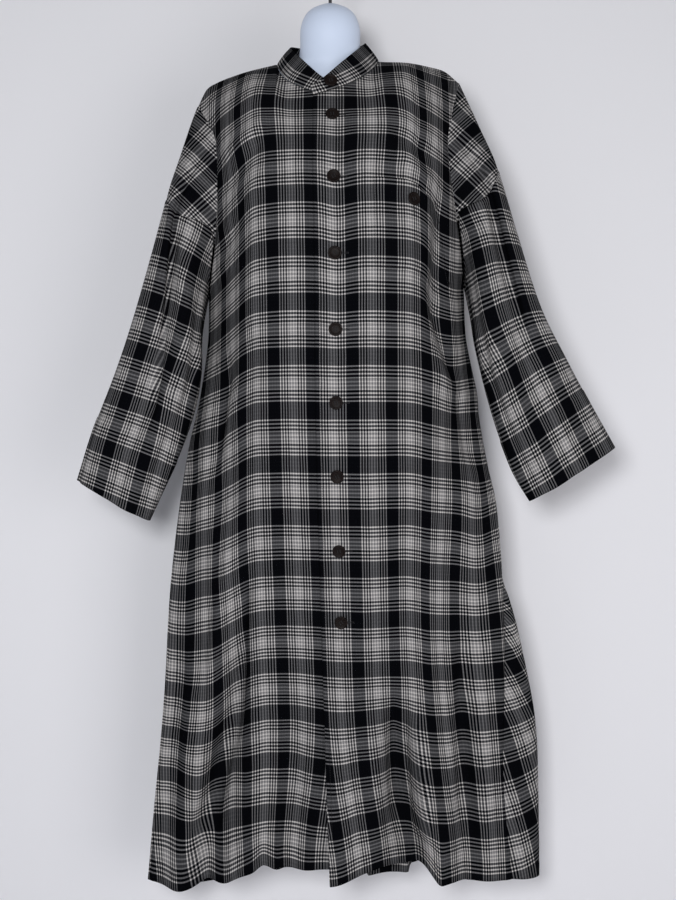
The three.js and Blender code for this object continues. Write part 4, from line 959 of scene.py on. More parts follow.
def sleeve_piece(name, part):
    """The sleeve below its seam, tucked under the edge of the dropped shoulder."""
    below = part["below"]
    grid = part["grid"][:, : below + 1].copy()
    directions = part["directions"][:, : below + 1]
    from_seam = reach_back(grid)
    from_cuff = reach_along(grid, 1)
    sink = -1.3 * (1 - ease(from_seam / 3.0)) + 0.5 * np.exp(-(((from_seam - 6) / 3.5) ** 2))
    around = np.arange(len(grid))
    around = np.minimum(around, len(grid) - around)
    at_armhole = ease((around - part["drop"]) / 6.0)[:, None]
    sink -= 1.6 * at_armhole * np.exp(-((from_seam / 6.0) ** 2))
    turned = 0.9 * (1 - ease((from_cuff - CUFF_DEPTH) / 2.0))
    grid = grid + directions * (sink + turned)[..., None]
    columns, rows = grid.shape[:2]
    quads = grid_faces(columns, rows, True, part["flip"])
    flat = part["flat"][:, : below + 1]
    wrapped = np.concatenate([flat, flat[:1]]).reshape(-1, 2)
    open_quads = grid_faces(columns + 1, rows, False, part["flip"])
    corners = wrapped[open_quads].copy()
    column_of = np.repeat(np.arange(columns), rows - 1)
    touches = column_of == part["underarm"]
    seam_flat = part["flat_back"][: below + 1]
    at_a = open_quads // rows == part["underarm"]
    for corner in range(4):
        pick = touches & at_a[:, corner]
        rows_here = open_quads[pick, corner] % rows
        corners[pick, corner] = seam_flat[rows_here]
    return shell(name, grid.reshape(-1, 3), directions.reshape(-1, 3), quads, corners)


# ------------------------------------------------------------------ places on the cloth


def on_grid(grid, column, row):
    i = int(np.clip(math.floor(column), 0, len(grid) - 2))
    j = int(np.clip(math.floor(row), 0, grid.shape[1] - 2))
    low = grid[i, j] * (1 - column + i) + grid[i + 1, j] * (column - i)
    high = grid[i, j + 1] * (1 - column + i) + grid[i + 1, j + 1] * (column - i)
    return low * (1 - row + j) + high * (row - j)


def find_on_grid(grid, x, h):
    """Column and row of the place at x and h."""
    row, column = grid.shape[1] / 2, 0.0
    for _ in range(8):
        j = int(np.clip(math.floor(row), 0, grid.shape[1] - 2))
        xs = grid[:, j, 0] * (1 - row + j) + grid[:, j + 1, 0] * (row - j)
        order = np.argsort(xs)
        column = float(np.interp(x, xs[order], np.arange(len(grid))[order]))
        i = int(np.clip(math.floor(column), 0, len(grid) - 2))
        hs = grid[i, :, 2] * (1 - column + i) + grid[i + 1, :, 2] * (column - i)
        row = float(np.interp(h, hs, np.arange(grid.shape[1])))
    return column, row

# ------------------------------------------------------------------ collar, pocket, buttons


def collar_band():
    """The band starts on top at the front, goes round the neck and ends underneath."""
    left, right = SIDES["left"], SIDES["right"]
    half = BACK_NECK_COLUMNS // 2
    stretches = [
        (left, -OVERLAP_TURN, 90.0, NECK_COLUMNS), (left, 90.0, 180.0, half),
        (right, -180.0, -90.0, half), (right, -90.0, OVERLAP_TURN, NECK_COLUMNS),
    ]
    seams, tops, on_top = [], [], []
    for n, (side, start, end, count) in enumerate(stretches):
        q = even_steps(
            lambda s: point_on(side["neckline"], "turn", start + (end - start) * s),
            count * COLLAR_FINE,
        )
        turns = (start + (end - start) * q)[1 if n else 0 :]
        seams.append(point_on(side["neckline"], "turn", turns))
        tops.append(point_on(side["collar"], "turn", turns))
        on_top.append(1 - ease((turns - OVERLAP_TURN - 6) / 36) if side is left else 0 * turns)
    seam, top, over = np.concatenate(seams), np.concatenate(tops), np.concatenate(on_top)
    share = np.linspace(0, 1, COLLAR_BAND_ROWS + 1)[None, :, None]
    grid = seam[:, None] * (1 - share) + top[:, None] * share
    grid[..., 1] -= LAYER_STEP * over[:, None]
    grid[..., 2] += 0.4 * (1 - share[..., 0])
    level = grid.copy()
    level[..., 1] -= 4
    level[..., 2] = 0
    level = unit(level)
    bulge = 1.2 * np.sin(np.pi * share[..., 0])
    reach = reach_along(grid, 0)
    rise = reach_along(grid, 1)
    rows = rise[:, -1:]
    pressed = -0.5 * np.exp(-((rise / 1.8) ** 2))
    pressed -= 0.25 * np.exp(-(((rows - rise - 3.5) / 1.2) ** 2))
    pressed += 0.35 * np.sin(reach / 17.0 + 1.0) * np.sin(np.pi * share[..., 0])
    grid = grid + level * (bulge + pressed)[..., None]
    out = seam_direction(seam)
    directions = unit(out[:, None] * (1 - ease(share * 2)) + level * ease(share * 2))
    middle = reach[:, COLLAR_BAND_ROWS // 2]
    flat = np.stack([np.broadcast_to(middle[:, None], rise.shape), rise], -1)
    return grid, directions, flat


def pocket_patch(panel, flat):
    """The patch lies on the left front and follows its rows."""
    low = find_on_grid(panel, POCKET["left"], POCKET["bottom"])[1]
    high = find_on_grid(panel, POCKET["left"], POCKET["top"])[1]
    right = find_on_grid(panel, POCKET["right"], (POCKET["bottom"] + POCKET["top"]) / 2)[0]
    normals = grid_normals(panel)
    rows = np.linspace(low, high, 70)
    points, directions, places = [], [], []
    for row in rows:
        j = int(row)
        xs = panel[:, j, 0] * (1 - row + j) + panel[:, j + 1, 0] * (row - j)
        start = float(np.interp(POCKET["left"], xs, np.arange(len(panel))))
        columns = np.linspace(start, right, 56)
        points.append([on_grid(panel, c, row) for c in columns])
        directions.append([on_grid(normals, c, row) for c in columns])
        places.append([on_grid(flat, c, row) for c in columns])
    points = np.array(points).swapaxes(0, 1)
    directions = unit(np.array(directions).swapaxes(0, 1))
    places = np.array(places).swapaxes(0, 1)
    i = np.arange(points.shape[0])[:, None]
    j = np.arange(points.shape[1])[None, :]
    from_edge = np.minimum(np.minimum(i, points.shape[0] - 1 - i), j + 0 * i) / 5.0
    lift = 0.75 + 1.1 * ease(from_edge) - 0.35 * np.exp(-(((from_edge - 0.4) / 0.35) ** 2))
    mouth = ease((j - points.shape[1] + 16) / 14.0) * np.sin(np.pi * i / (points.shape[0] - 1))
    lift = lift + 1.6 * mouth
    return points + directions * lift[..., None], directions, places


def turned(profile, segments):
    """A closed turned body about +Z from (radius, height) pairs that start and end at 0."""
    ring = 2 * np.pi * np.arange(segments) / segments
    points, faces = [], []
    for r, z in profile:
        circle = [(r * math.cos(a), r * math.sin(a), z) for a in ring]
        points.append([(0.0, 0.0, z)] if r == 0 else circle)
    starts = np.concatenate([[0], np.cumsum([len(p) for p in points])])
    for k in range(len(points) - 1):
        a, b = starts[k], starts[k + 1]
        for s in range(segments):
            n = (s + 1) % segments
            if len(points[k]) == 1:
                faces.append((a, b + n, b + s))
            elif len(points[k + 1]) == 1:
                faces.append((a + s, a + n, b))
            else:
                faces.append((a + s, a + n, b + n, b + s))
    return np.concatenate([np.array(p) for p in points]), faces


BUTTON_PROFILE = (
    (0, 0), (8.6, 0), (9.6, 0.5), (10.0, 1.3), (9.9, 2.2), (9.4, 2.9), (8.6, 3.15), (7.8, 3.0),
    (7.1, 2.55), (6.3, 2.25), (3.0, 2.1), (0, 2.1),
)
HOLE_RADIUS = 0.95
HOLE_SPACING = 1.9


def frame_at(normal, lean):
    """Axes for something that lies on the cloth: its right, its up and its outward way."""
    n = unit(np.asarray(normal, float))
    upright = np.array([math.sin(lean), 0, math.cos(lean)])
    up = unit(upright - n * (n @ upright))
    right = np.cross(up, n)
    return np.stack([right, up, n])


def put(points, place, axes):
    return np.asarray(points) @ axes + place


def disc(radius, height, segments, centre):
    ring = 2 * np.pi * np.arange(segments) / segments
    points = [(centre[0], centre[1], height)]
    points += [
        (centre[0] + radius * math.cos(a), centre[1] + radius * math.sin(a), height) for a in ring
    ]
    return points, [(0, k + 1, (k + 1) % segments + 1) for k in range(segments)]


def bar(start, end, radius, segments=8, rise=0.0):
    """A short round stitch between two places, arched by rise in its middle."""
    start, end = np.array(start, float), np.array(end, float)
    steps = 6
    way = unit(end - start)
    side = unit(np.cross(way, [0, 0, 1.0]))
    up = np.cross(side, way)
    points = []
    for k in range(steps + 1):
        t = k / steps
        centre = start + (end - start) * t + up * rise * math.sin(math.pi * t)
        r = radius * (0.55 if k in (0, steps) else 1.0)
        for s in range(segments):
            a = 2 * math.pi * s / segments
            points.append(centre + side * r * math.cos(a) + up * r * math.sin(a))
    return points, tube_faces(steps + 1, segments)


def tube_faces(count, segments):
    """Faces of a tube of count rings, with both ends closed."""
    faces = []
    for k in range(count - 1):
        a, b = k * segments, (k + 1) * segments
        for s in range(segments):
            n = (s + 1) % segments
            faces.append((a + s, a + n, b + n, b + s))
    faces.append(tuple(range(segments))[::-1])
    faces.append(tuple((count - 1) * segments + s for s in range(segments)))
    return faces


def joined(parts):
    points, faces, count = [], [], 0
    for p, f in parts:
        points += [tuple(x) for x in p]
        faces += [tuple(int(i) + count for i in face) for face in f]
        count += len(p)
    return np.array(points), faces


def stitch_row(grid, directions, path, length=2.6, gap=1.1, radius=0.28, lift=0.55):
    """Stitches along a path of (column, row) places on a grid."""
    places = np.array([on_grid(grid, c, r) for c, r in path])
    normals = unit(np.array([on_grid(directions, c, r) for c, r in path]))
    reach = np.concatenate([[0], np.cumsum(np.linalg.norm(np.diff(places, axis=0), axis=1))])
    parts = []
    s = 0.5
    while s + length < reach[-1]:
        ends = []
        for q in (s, s + length):
            spot = np.array([np.interp(q, reach, places[:, k]) for k in range(3)])
            way = np.array([np.interp(q, reach, normals[:, k]) for k in range(3)])
            ends.append(spot + unit(way) * lift)
        a, b = ends
        n = unit(np.array([np.interp(s, reach, normals[:, k]) for k in range(3)]))
        side = unit(np.cross(b - a, n)) * radius
        top = n * radius
        offsets = (side, top, -side, -top * 0.4)
        points = [end + offset for end in (a, b) for offset in offsets]
        faces = [(0, 1, 5, 4), (1, 2, 6, 5), (2, 3, 7, 6), (3, 0, 4, 7), (3, 2, 1, 0), (4, 5, 6, 7)]
        parts.append((points, faces))
        s += length + gap
    return parts


# ------------------------------------------------------------------ form and hook


def form_body(segments=96):
    h = np.concatenate([np.linspace(640, 1160, 50), np.linspace(1160, 1371, 61)[1:]])
    angle = 2 * np.pi * np.arange(segments) / segments
    c, s = np.cos(angle), np.sin(angle)
    rings = []
    for level in h:
        right, left, front, back, power, throat = (
            float(along(FORM, "h", key, level))
            for key in ("right", "left", "yFront", "yBack", "power", "throat")
        )
        e = 2 / power
        x = np.sign(c) * np.abs(c) ** e * np.where(c < 0, right, left)
        y = (front + back) / 2 + np.sign(s) * np.abs(s) ** e * (back - front) / 2
        y -= throat * np.exp(-((x / THROAT_REACH) ** 2)) * np.maximum(-s, 0)
        rings.append(np.stack([x, y, np.full(segments, level)], -1))
    for k, share in enumerate((0.8, 0.45)):
        centre = rings[-1].mean(0)
        last = rings[len(h) - 1]
        ring = centre + (last - centre) * share
        ring[:, 2] = 1371 + (0.9, 1.4)[k]
        rings.append(ring)
    points = np.concatenate(rings)
    count = len(rings)
    faces = [tuple(f) for f in grid_faces(count, segments, False, True).tolist()]
    for r in range(count - 1):
        a, b = r * segments + segments - 1, (r + 1) * segments + segments - 1
        faces.append((a, r * segments, (r + 1) * segments, b))
    base = len(points)
    points = np.concatenate([points, [[0, 4, 640.0]], [[0, 4, 1372.8]]])
    last = (count - 1) * segments
    for k in range(segments):
        n = (k + 1) % segments
        faces.append((base, n, k))
        faces.append((base + 1, last + k, last + n))
    return points, faces


def hook_wire(wire=2.6, crook=17.0, foot=1371.4, lead=18.0, open_end=202):
    centre = HOOK_HEIGHT - crook
    bend = crook + wire
    knots = [(0, foot), (0, foot + lead), (1.5, centre - bend - 5)]
    degrees = -50
    while degrees <= open_end:
        a = math.radians(degrees)
        knots.append((bend * math.cos(a), centre + bend * math.sin(a)))
        degrees += 28
    knots = np.array(knots)
    ends = np.concatenate([[2 * knots[0] - knots[1]], knots, [2 * knots[-1] - knots[-2]]])
    path = []
    for k in range(len(knots) - 1):
        p0, p1, p2, p3 = ends[k : k + 4]
        d1 = max(np.linalg.norm(p1 - p0) ** 0.5, 1e-6)
        d2 = max(np.linalg.norm(p2 - p1) ** 0.5, 1e-6)
        d3 = max(np.linalg.norm(p3 - p2) ** 0.5, 1e-6)
        m1 = ((p1 - p0) / d1 - (p2 - p0) / (d1 + d2) + (p2 - p1) / d2) * d2
        m2 = ((p2 - p1) / d2 - (p3 - p1) / (d2 + d3) + (p3 - p2) / d3) * d2
        for t in np.linspace(0, 1, 13)[: 13 if k == len(knots) - 2 else 12]:
            path.append(
                p1 * (2 * t**3 - 3 * t**2 + 1) + p2 * (3 * t**2 - 2 * t**3)
                + m1 * (t**3 - 2 * t**2 + t) + m2 * (t**3 - t**2)
            )
    path = np.array(path)
    way = unit(np.gradient(path, axis=0))
    side = np.stack([way[:, 1], -way[:, 0]], -1)
    segments = 20
    rings = []
    for p, d in zip(path, side):
        ring = []
        for s in range(segments):
            a = 2 * math.pi * s / segments
            x, y = d * wire * math.cos(a) + p
            ring.append((x, HOOK_Y + wire * math.sin(a), y))
        rings.append(ring)
    return np.array(rings).reshape(-1, 3), tube_faces(len(path), segments)


# ------------------------------------------------------------------ materials


def new_material(name, base, roughness, metallic=0.0):
    material = bpy.data.materials.new(name)
    material.use_nodes = True
    shader = material.node_tree.nodes["Principled BSDF"]
    shader.inputs["Base Color"].default_value = (*base, 1)
    shader.inputs["Roughness"].default_value = roughness
    shader.inputs["Metallic"].default_value = metallic
    return material, material.node_tree, shader


class Wires:
    """Short names for making and joining nodes."""

    def __init__(self, tree):
        self.tree = tree

    def node(self, kind, **values):
        node = self.tree.nodes.new(kind)
        for key, value in values.items():
            setattr(node, key, value)
        return node

    def join(self, value, socket):
        if isinstance(value, (int, float)):
            socket.default_value = value
        else:
            self.tree.links.new(value, socket)

    def math(self, operation, a, b=0.0, c=0.0):
        node = self.node("ShaderNodeMath", operation=operation)
        for value, socket in zip((a, b, c), node.inputs):
            self.join(value, socket)
        return node.outputs[0]

    def step(self, value, low, high, start=0.0, end=1.0):
        node = self.node("ShaderNodeMapRange", interpolation_type="SMOOTHSTEP")
        for v, socket in zip((value, low, high, start, end), node.inputs):
            self.join(v, socket)
        return node.outputs[0]

    def noise(self, vector, scale, detail=2.0, rough=0.5):
        node = self.node("ShaderNodeTexNoise")
        self.tree.links.new(vector, node.inputs["Vector"])
        node.inputs["Scale"].default_value = scale
        node.inputs["Detail"].default_value = detail
        node.inputs["Roughness"].default_value = rough
        return node.outputs["Fac"]

    def scaled(self, vector, x, y, z=1.0):
        node = self.node("ShaderNodeVectorMath", operation="MULTIPLY")
        self.tree.links.new(vector, node.inputs[0])
        node.inputs[1].default_value = (x, y, z)
        return node.outputs[0]


def colour_mix(w, factor, low, high):
    mix = w.node("ShaderNodeMix", data_type="RGBA")
    w.tree.links.new(factor, mix.inputs[0])
    mix.inputs[6].default_value = (*low, 1)
    mix.inputs[7].default_value = (*high, 1)
    return mix


def thread_order(w, place):
    """How light the threads are across one repeat of 14 units: ten light lines with dark gaps,
    three of the gaps half light, then a dark band with faint lines."""
    inside = w.math("FRACT", place)
    line = w.math(
        "MULTIPLY", w.step(inside, 0.02, 0.14), w.step(inside, 0.42, 0.56, 1.0, 0.0)
    )
    light_zone = w.math("LESS_THAN", place, 10.0)
    faint = w.math("ADD", w.math("MULTIPLY", light_zone, 1 - FAINT_LINE), FAINT_LINE)
    centre = w.math("MULTIPLY", w.step(place, 3.4, 3.6), w.step(place, 5.95, 6.05, 1.0, 0.0))
    gap = w.math("MULTIPLY", centre, CENTRE_GAP)
    return w.math("ADD", gap, w.math("MULTIPLY", line, w.math("SUBTRACT", faint, gap)))


def check_material(name, warp_start, weft_start):
    """Woven check: the same order of light and dark threads across and along the cloth."""
    material, tree, shader = new_material(name, CHECK_DARK, 0.86)
    w = Wires(tree)
    uv = w.node("ShaderNodeUVMap", uv_map="cloth")
    parts = w.node("ShaderNodeSeparateXYZ")
    tree.links.new(uv.outputs[0], parts.inputs[0])
    wobble = w.noise(uv.outputs[0], 30.0, 1.0)
    drift = w.math("MULTIPLY", w.math("SUBTRACT", wobble, 0.5), 0.0009)
    across = w.math("ADD", parts.outputs[0], drift)
    up = w.math("ADD", parts.outputs[1], drift)
    light = []
    for value, start, repeat in ((across, warp_start, WARP_REPEAT), (up, weft_start, WEFT_REPEAT)):
        past = w.math("SUBTRACT", value, start / 1000)
        turns = w.math("FRACT", w.math("DIVIDE", past, repeat / 1000))
        light.append(thread_order(w, w.math("MULTIPLY", turns, THREAD_UNITS)))
    light_warp, light_weft = light
    both = w.math("MULTIPLY", w.math("ADD", light_warp, light_weft), 0.5)
    share = w.math("POWER", both, TONE_POWER)

    slub_warp = w.noise(w.scaled(uv.outputs[0], 900.0, 26.0), 1.0, 2.0)
    slub_weft = w.noise(w.scaled(uv.outputs[0], 26.0, 900.0), 1.0, 2.0)
    slub = w.math("ADD", w.math("MULTIPLY", w.math("ADD", slub_warp, slub_weft), 0.36), 0.64)
    share = w.math("MULTIPLY", share, slub)
    tint = colour_mix(w, both, CHECK_COOL, CHECK_LIGHT)
    mix = colour_mix(w, share, CHECK_DARK, CHECK_LIGHT)
    tree.links.new(tint.outputs[2], mix.inputs[7])
    tree.links.new(mix.outputs[2], shader.inputs["Base Color"])

    thread_a = w.math("SINE", w.math("MULTIPLY", parts.outputs[0], 2 * math.pi / 0.00062))
    thread_b = w.math("SINE", w.math("MULTIPLY", parts.outputs[1], 2 * math.pi / 0.00066))
    weave = w.math("MULTIPLY", thread_a, thread_b)
    fuzz = w.noise(uv.outputs[0], 1600.0, 3.0, 0.6)
    height = w.math("ADD", w.math("MULTIPLY", weave, 0.35), fuzz)
    bump = w.node("ShaderNodeBump")
    bump.inputs["Strength"].default_value = 0.25
    bump.inputs["Distance"].default_value = 0.00012
    tree.links.new(height, bump.inputs["Height"])
    tree.links.new(bump.outputs[0], shader.inputs["Normal"])
    shader.inputs["Specular IOR Level"].default_value = 0.01
    return material


def horn_material():
    material, tree, shader = new_material("horn", (0.006, 0.004, 0.004), 0.5)
    w = Wires(tree)
    place = w.node("ShaderNodeTexCoord")
    grain = w.noise(w.scaled(place.outputs["Object"], 60.0, 20.0, 260.0), 6.0, 3.0)
    mix = colour_mix(w, w.step(grain, 0.35, 0.75), HORN_DARK, HORN_LIGHT)
    tree.links.new(mix.outputs[2], shader.inputs["Base Color"])
    shader.inputs["Specular IOR Level"].default_value = 0.10
    return material


def shell_material():
    material, tree, shader = new_material("form_shell", FORM_COLOUR, 0.42)
    w = Wires(tree)
    place = w.node("ShaderNodeTexCoord")
    cloud = w.noise(place.outputs["Object"], 7.0, 2.0)
    darker = [c * 0.97 for c in FORM_COLOUR]
    mix = colour_mix(w, cloud, darker, [min(c * 1.03, 0.95) for c in FORM_COLOUR])
    tree.links.new(mix.outputs[2], shader.inputs["Base Color"])
    return material


def steel_material():
    material, tree, shader = new_material("dark_steel", (0.12, 0.12, 0.125), 0.36, 0.9)
    w = Wires(tree)
    place = w.node("ShaderNodeTexCoord")
    grain = w.noise(w.scaled(place.outputs["Object"], 300.0, 300.0, 1200.0), 2.0, 2.0)
    tree.links.new(w.step(grain, 0.2, 0.8, 0.30, 0.44), shader.inputs["Roughness"])
    return material


def plain_material(name, colour, roughness, scale, spread_by):
    material, tree, shader = new_material(name, colour, roughness)
    w = Wires(tree)
    place = w.node("ShaderNodeTexCoord")
    cloud = w.noise(place.outputs["Object"], scale, 3.0)
    darker = [c * (1 - spread_by) for c in colour]
    mix = colour_mix(w, cloud, darker, [min(c * (1 + spread_by), 1) for c in colour])
    tree.links.new(mix.outputs[2], shader.inputs["Base Color"])
    return material


CHECK_DARK = (0.0018, 0.0020, 0.0030)
CHECK_COOL = (0.500, 0.520, 0.580)
CHECK_LIGHT = (0.570, 0.545, 0.530)
TONE_POWER = 2.4
FAINT_LINE = 0.06
THREAD_UNITS = 14.0
CENTRE_GAP = 0.6
HORN_DARK = (0.0035, 0.0022, 0.0022)
HORN_LIGHT = (0.0140, 0.0085, 0.0075)
FORM_COLOUR = (0.64, 0.73, 0.90)
# Rows of the sleeves: the line where the outer strip turns, and how far the rows slope down
# towards the body on either side of it, in degrees.
SLEEVE_LEAN = {
    "right": table(
        "h x outer inner",
        (575, 268, 24, 28), (775, 254, 18, 29), (929, 246, 18, 30), (1021, 231, 18, 30),
        (1110, 228, 18, 30), (1213, 205, 18, 30),
    ),
    "left": table(
        "h x outer inner",
        (605, 400, 26, 30), (780, 330, 26, 29), (867, 298, 14, 24), (960, 261, 0, 18),
        (1040, 249, -14, 15), (1120, 227, -20, 14), (1206, 219, -20, 14),
    ),
}
SLEEVE_BEND = 7.0
SLEEVE_ROW_SCALE = 0.97
DROP_TURN = 45.0
DROP_CORNER = (175.0, 1100.0)
DROP_CLOTH = (190.0, 1130.0)
HEM_DEPTH = 22.0
CUFF_DEPTH = 100.0
COLLAR_FINE = 10
COLLAR_BAND_ROWS = 16
SLEEVE_CREASES = {
    "right": table(
        SLEEVE_ROW_NAMES,
        (38, 104, 0.02, 0.76, 5, -9.0), (30, 94, 0.02, 0.76, 7, 4.0),
        (96, 100, 0.25, 0.8, 10, -2.6),
        (118, 128, 0.15, 0.7, 12, 3.4), (140, 132, 0.3, 0.95, 9, -3.0), (30, 40, 0.2, 0.8, 10, 2.2),
        (150, 160, 0.1, 0.5, 10, 3.0), (235, 240, 0.1, 0.8, 12, -3.6),
        (290, 280, 0.2, 0.9, 14, 3.6),
        (20, 24, 0.72, 1.2, 8, -3.0),
    ),
    "left": table(
        SLEEVE_ROW_NAMES,
        (48, 70, 0.0, 0.62, 5, -7.5), (40, 62, 0.0, 0.62, 7, 3.5), (100, 104, 0.3, 0.85, 9, -2.4),
        (122, 128, 0.12, 0.6, 12, 3.4), (146, 136, 0.3, 1.0, 9, -3.2), (32, 40, 0.2, 0.8, 10, 2.2),
        (152, 158, 0.1, 0.5, 10, 3.0), (232, 240, 0.1, 0.8, 12, -3.6),
        (296, 284, 0.2, 0.9, 14, 3.6),
        (78, 84, 0.5, 1.1, 8, 2.4),
    ),
}

# ------------------------------------------------------------------ the garment

# A dark band's middle lies 11.75 units into a repeat of 14.
DARK_MIDDLE = 11.75 / 14
# The centre of the back lies 5 units into a repeat.
BACK_MIDDLE = 5.0 / 14
# A dark band of the right front, and the starts of the collar's cut, in mm.
UNDER_DARK = 63.8
BAND_WARP_START = 37.0
BAND_WEFT_START = -34.3
WEFT_START = WEFT_DARK - DARK_MIDDLE * WEFT_REPEAT
front_check = check_material("check_front", WARP_START, WEFT_START)
under_check = check_material("check_under", UNDER_DARK - DARK_MIDDLE * WARP_REPEAT, WEFT_START)
back_check = check_material("check_back", -BACK_MIDDLE * WARP_REPEAT, WEFT_START)
sleeve_check = check_material("check_sleeve", 6.0, 20.0)
band_check = check_material("check_band", BAND_WARP_START, BAND_WEFT_START)
horn = horn_material()
thread = plain_material("thread", (0.010, 0.010, 0.013), 0.8, 900.0, 0.25)
# Near-black for the discs on the buttons' holes: painted shade inside the holes, over the dark
# cloth beneath.
painted_hole_shade = plain_material("painted_hole_shade", (0.004, 0.004, 0.005), 0.9, 400.0, 0.2)
shell_white = shell_material()
steel = steel_material()


def finish_piece(obj, material, nodes=()):
    obj.data.materials.clear()
    obj.data.materials.append(material)
    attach(obj, "root")
    if nodes:
        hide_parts(*nodes)
    return obj


left_front, left_flat = front_panel(SIDES["left"], True)
right_front, right_flat = front_panel(SIDES["right"], False)
whole_back, back_flat = back_panel()
right_arm = arm(SIDES["right"], RIGHT_SLEEVE, RIGHT_SLEEVE_FOLDS, 0.7)
left_arm = arm(SIDES["left"], LEFT_SLEEVE, LEFT_SLEEVE_FOLDS, 1.9)


def drop_columns(part, back):
    """The arm's columns from the shoulder down to the end of the dropped shoulder."""
    around = len(part["grid"])
    return [(around - c) % around if back else c for c in range(part["drop"] + 1)]


pieces = {
    "front_right": panel_piece(
        "cloth_front_right", right_front, right_flat, True,
        [(len(right_front) - 1, right_arm, drop_columns(right_arm, False), False)],
    ),
    "front_left": panel_piece(
        "cloth_front_left", left_front, left_flat, False,
        [(len(left_front) - 1, left_arm, drop_columns(left_arm, False), True)],
    ),
    "back": panel_piece(
        "cloth_back", whole_back, back_flat, False,
        [
            (0, left_arm, drop_columns(left_arm, True), False),
            (len(whole_back) - 1, right_arm, drop_columns(right_arm, True), True),
        ],
    ),
    "sleeve_right": sleeve_piece("cloth_sleeve_right", right_arm),
    "sleeve_left": sleeve_piece("cloth_sleeve_left", left_arm),
}
checks = (under_check, front_check, back_check, sleeve_check, sleeve_check)
for (name, piece), check in zip(pieces.items(), checks):
    finish_piece(piece, check, [name])

band, band_directions, band_flat = collar_band()


def grid_shell(name, grid, directions, flat, thick=THICKNESS):
    quads = grid_faces(grid.shape[0], grid.shape[1])
    corners = flat.reshape(-1, 2)[quads]
    return shell(name, grid.reshape(-1, 3), directions.reshape(-1, 3), quads, corners, thick=thick)


collar = grid_shell("cloth_collar", band, band_directions, band_flat, 1.1)
finish_piece(collar, band_check, ["collar"])

patch, patch_directions, patch_flat = pocket_patch(left_front, left_flat)
pocket = grid_shell("cloth_pocket", patch, patch_directions, patch_flat)
finish_piece(pocket, front_check, ["pocket"])

# Buttons with two runs of thread through four holes. The holes are not cut: near-black discs on the
# button stand in for them, painted shade inside the holes over the dark cloth under the button.
solid_points, solid_faces = turned(BUTTON_PROFILE, 48)
hole_shade_parts = []
for hx in (-HOLE_SPACING, HOLE_SPACING):
    for hy in (-HOLE_SPACING, HOLE_SPACING):
        hole_shade_parts.append(disc(HOLE_RADIUS, 2.16, 14, (hx, hy)))
hole_shade_points, hole_shade_faces = joined(hole_shade_parts)
run_points, run_faces = joined(
    [
        bar((hx, -HOLE_SPACING, 2.2), (hx, HOLE_SPACING, 2.2), 0.42, rise=0.45)
        for hx in (-HOLE_SPACING, HOLE_SPACING)
    ]
)
left_normals = grid_normals(left_front)


def sew_button(name, place, axes, lift, spin=0.0):
    c, s = math.cos(spin), math.sin(spin)
    axes = np.array([[c, s, 0], [-s, c, 0], [0, 0, 1.0]]) @ axes
    foot = place + axes[2] * lift
    button = new_object(f"{name}_disc", put(solid_points, foot, axes), solid_faces)
    finish_piece(button, horn, [name])
    # Dark discs over the four holes: painted shade inside them.
    hole_shade = new_object(f"{name}_holes", put(hole_shade_points, foot, axes), hole_shade_faces)
    finish_piece(hole_shade, painted_hole_shade)
    runs = new_object(f"{name}_thread", put(run_points, foot, axes), run_faces)
    finish_piece(runs, thread)


def buttonhole(name, place, axes, length, width, lift, level=True):
    """A slit with a raised rim of close stitches."""
    rim = []
    count = int(length / 0.9)
    for k in range(count + 1):
        s = -length / 2 + length * k / count
        for sign in (-1, 1):
            a = (s, sign * 0.35, lift + 0.1)
            b = (s, sign * width / 2, lift)
            if not level:
                a, b = (a[1], a[0], a[2]), (b[1], b[0], b[2])
            rim.append(bar(a, b, 0.34, 6, 0.25))
    for sign in (-1, 1):
        a, b = (sign * length / 2, -width / 2, lift), (sign * length / 2, width / 2, lift)
        if not level:
            a, b = (a[1], a[0], a[2]), (b[1], b[0], b[2])
        rim.append(bar(a, b, 0.45, 6, 0.3))
    points, faces = joined(rim)
    piece = new_object(name, put(points, place, axes), faces)
    finish_piece(piece, thread)


BUTTON_TURNS = (0.1, 0.5, 0.2, 0.0, 0.1, 0.4, 0.2, 0.6)
HOLE_LENGTH = 22.0
HOLE_WIDTH = 2.8
HOLE_OFFSET = 8.5


def left_front_place(x, h, lean=0.0):
    """Place and axes on the left front at x and h."""
    column, row = find_on_grid(left_front, x, h)
    return on_grid(left_front, column, row), frame_at(on_grid(left_normals, column, row), lean)


for k, h in enumerate(BUTTON_HEIGHTS):
    bx = float(along(MIDDLE, "h", "buttonX", h))
    sew_button(f"button_{k + 1}", *left_front_place(bx, h, 0.02), 1.1, BUTTON_TURNS[k])
    hole_place, hole_axes = left_front_place(bx + HOLE_OFFSET, h)
    buttonhole(f"buttonhole_{k + 1}", hole_place, hole_axes, HOLE_LENGTH, HOLE_WIDTH, 0.45)

sew_button("button_pocket", *left_front_place(*POCKET_BUTTON), 3.6, 0.3)
place, axes = left_front_place(POCKET_BUTTON[0] + 1.0, POCKET_BUTTON[1] - 11.0)
buttonhole("buttonhole_pocket", place, axes, HOLE_LENGTH, HOLE_WIDTH, 2.6, level=False)

front_part = band[: NECK_COLUMNS * COLLAR_FINE + 1]
middle_row = COLLAR_BAND_ROWS // 2
column = float(np.interp(COLLAR_BUTTON_X, front_part[:, middle_row, 0], np.arange(len(front_part))))
place = on_grid(front_part, column, middle_row)
axes = frame_at(on_grid(grid_normals(band), column, middle_row), 0.0)
sew_button("button_collar", place, axes, 1.3, 0.2)

# Stitching along the front edge, the hems and the pocket.
rows = left_front.shape[1] - 1
HEM_MEASURED_AT = 20
hem_reach = np.cumsum(np.linalg.norm(np.diff(left_front[HEM_MEASURED_AT], axis=0), axis=1))
hem_row = float(np.interp(HEM_DEPTH, hem_reach, np.arange(rows)))


def hem_path(grid, start, count):
    return [(c, hem_row) for c in np.linspace(start, len(grid) - 2, count)]


def sewn(name, stitches):
    points, faces = joined(stitches)
    finish_piece(new_object(name, points, faces), thread)


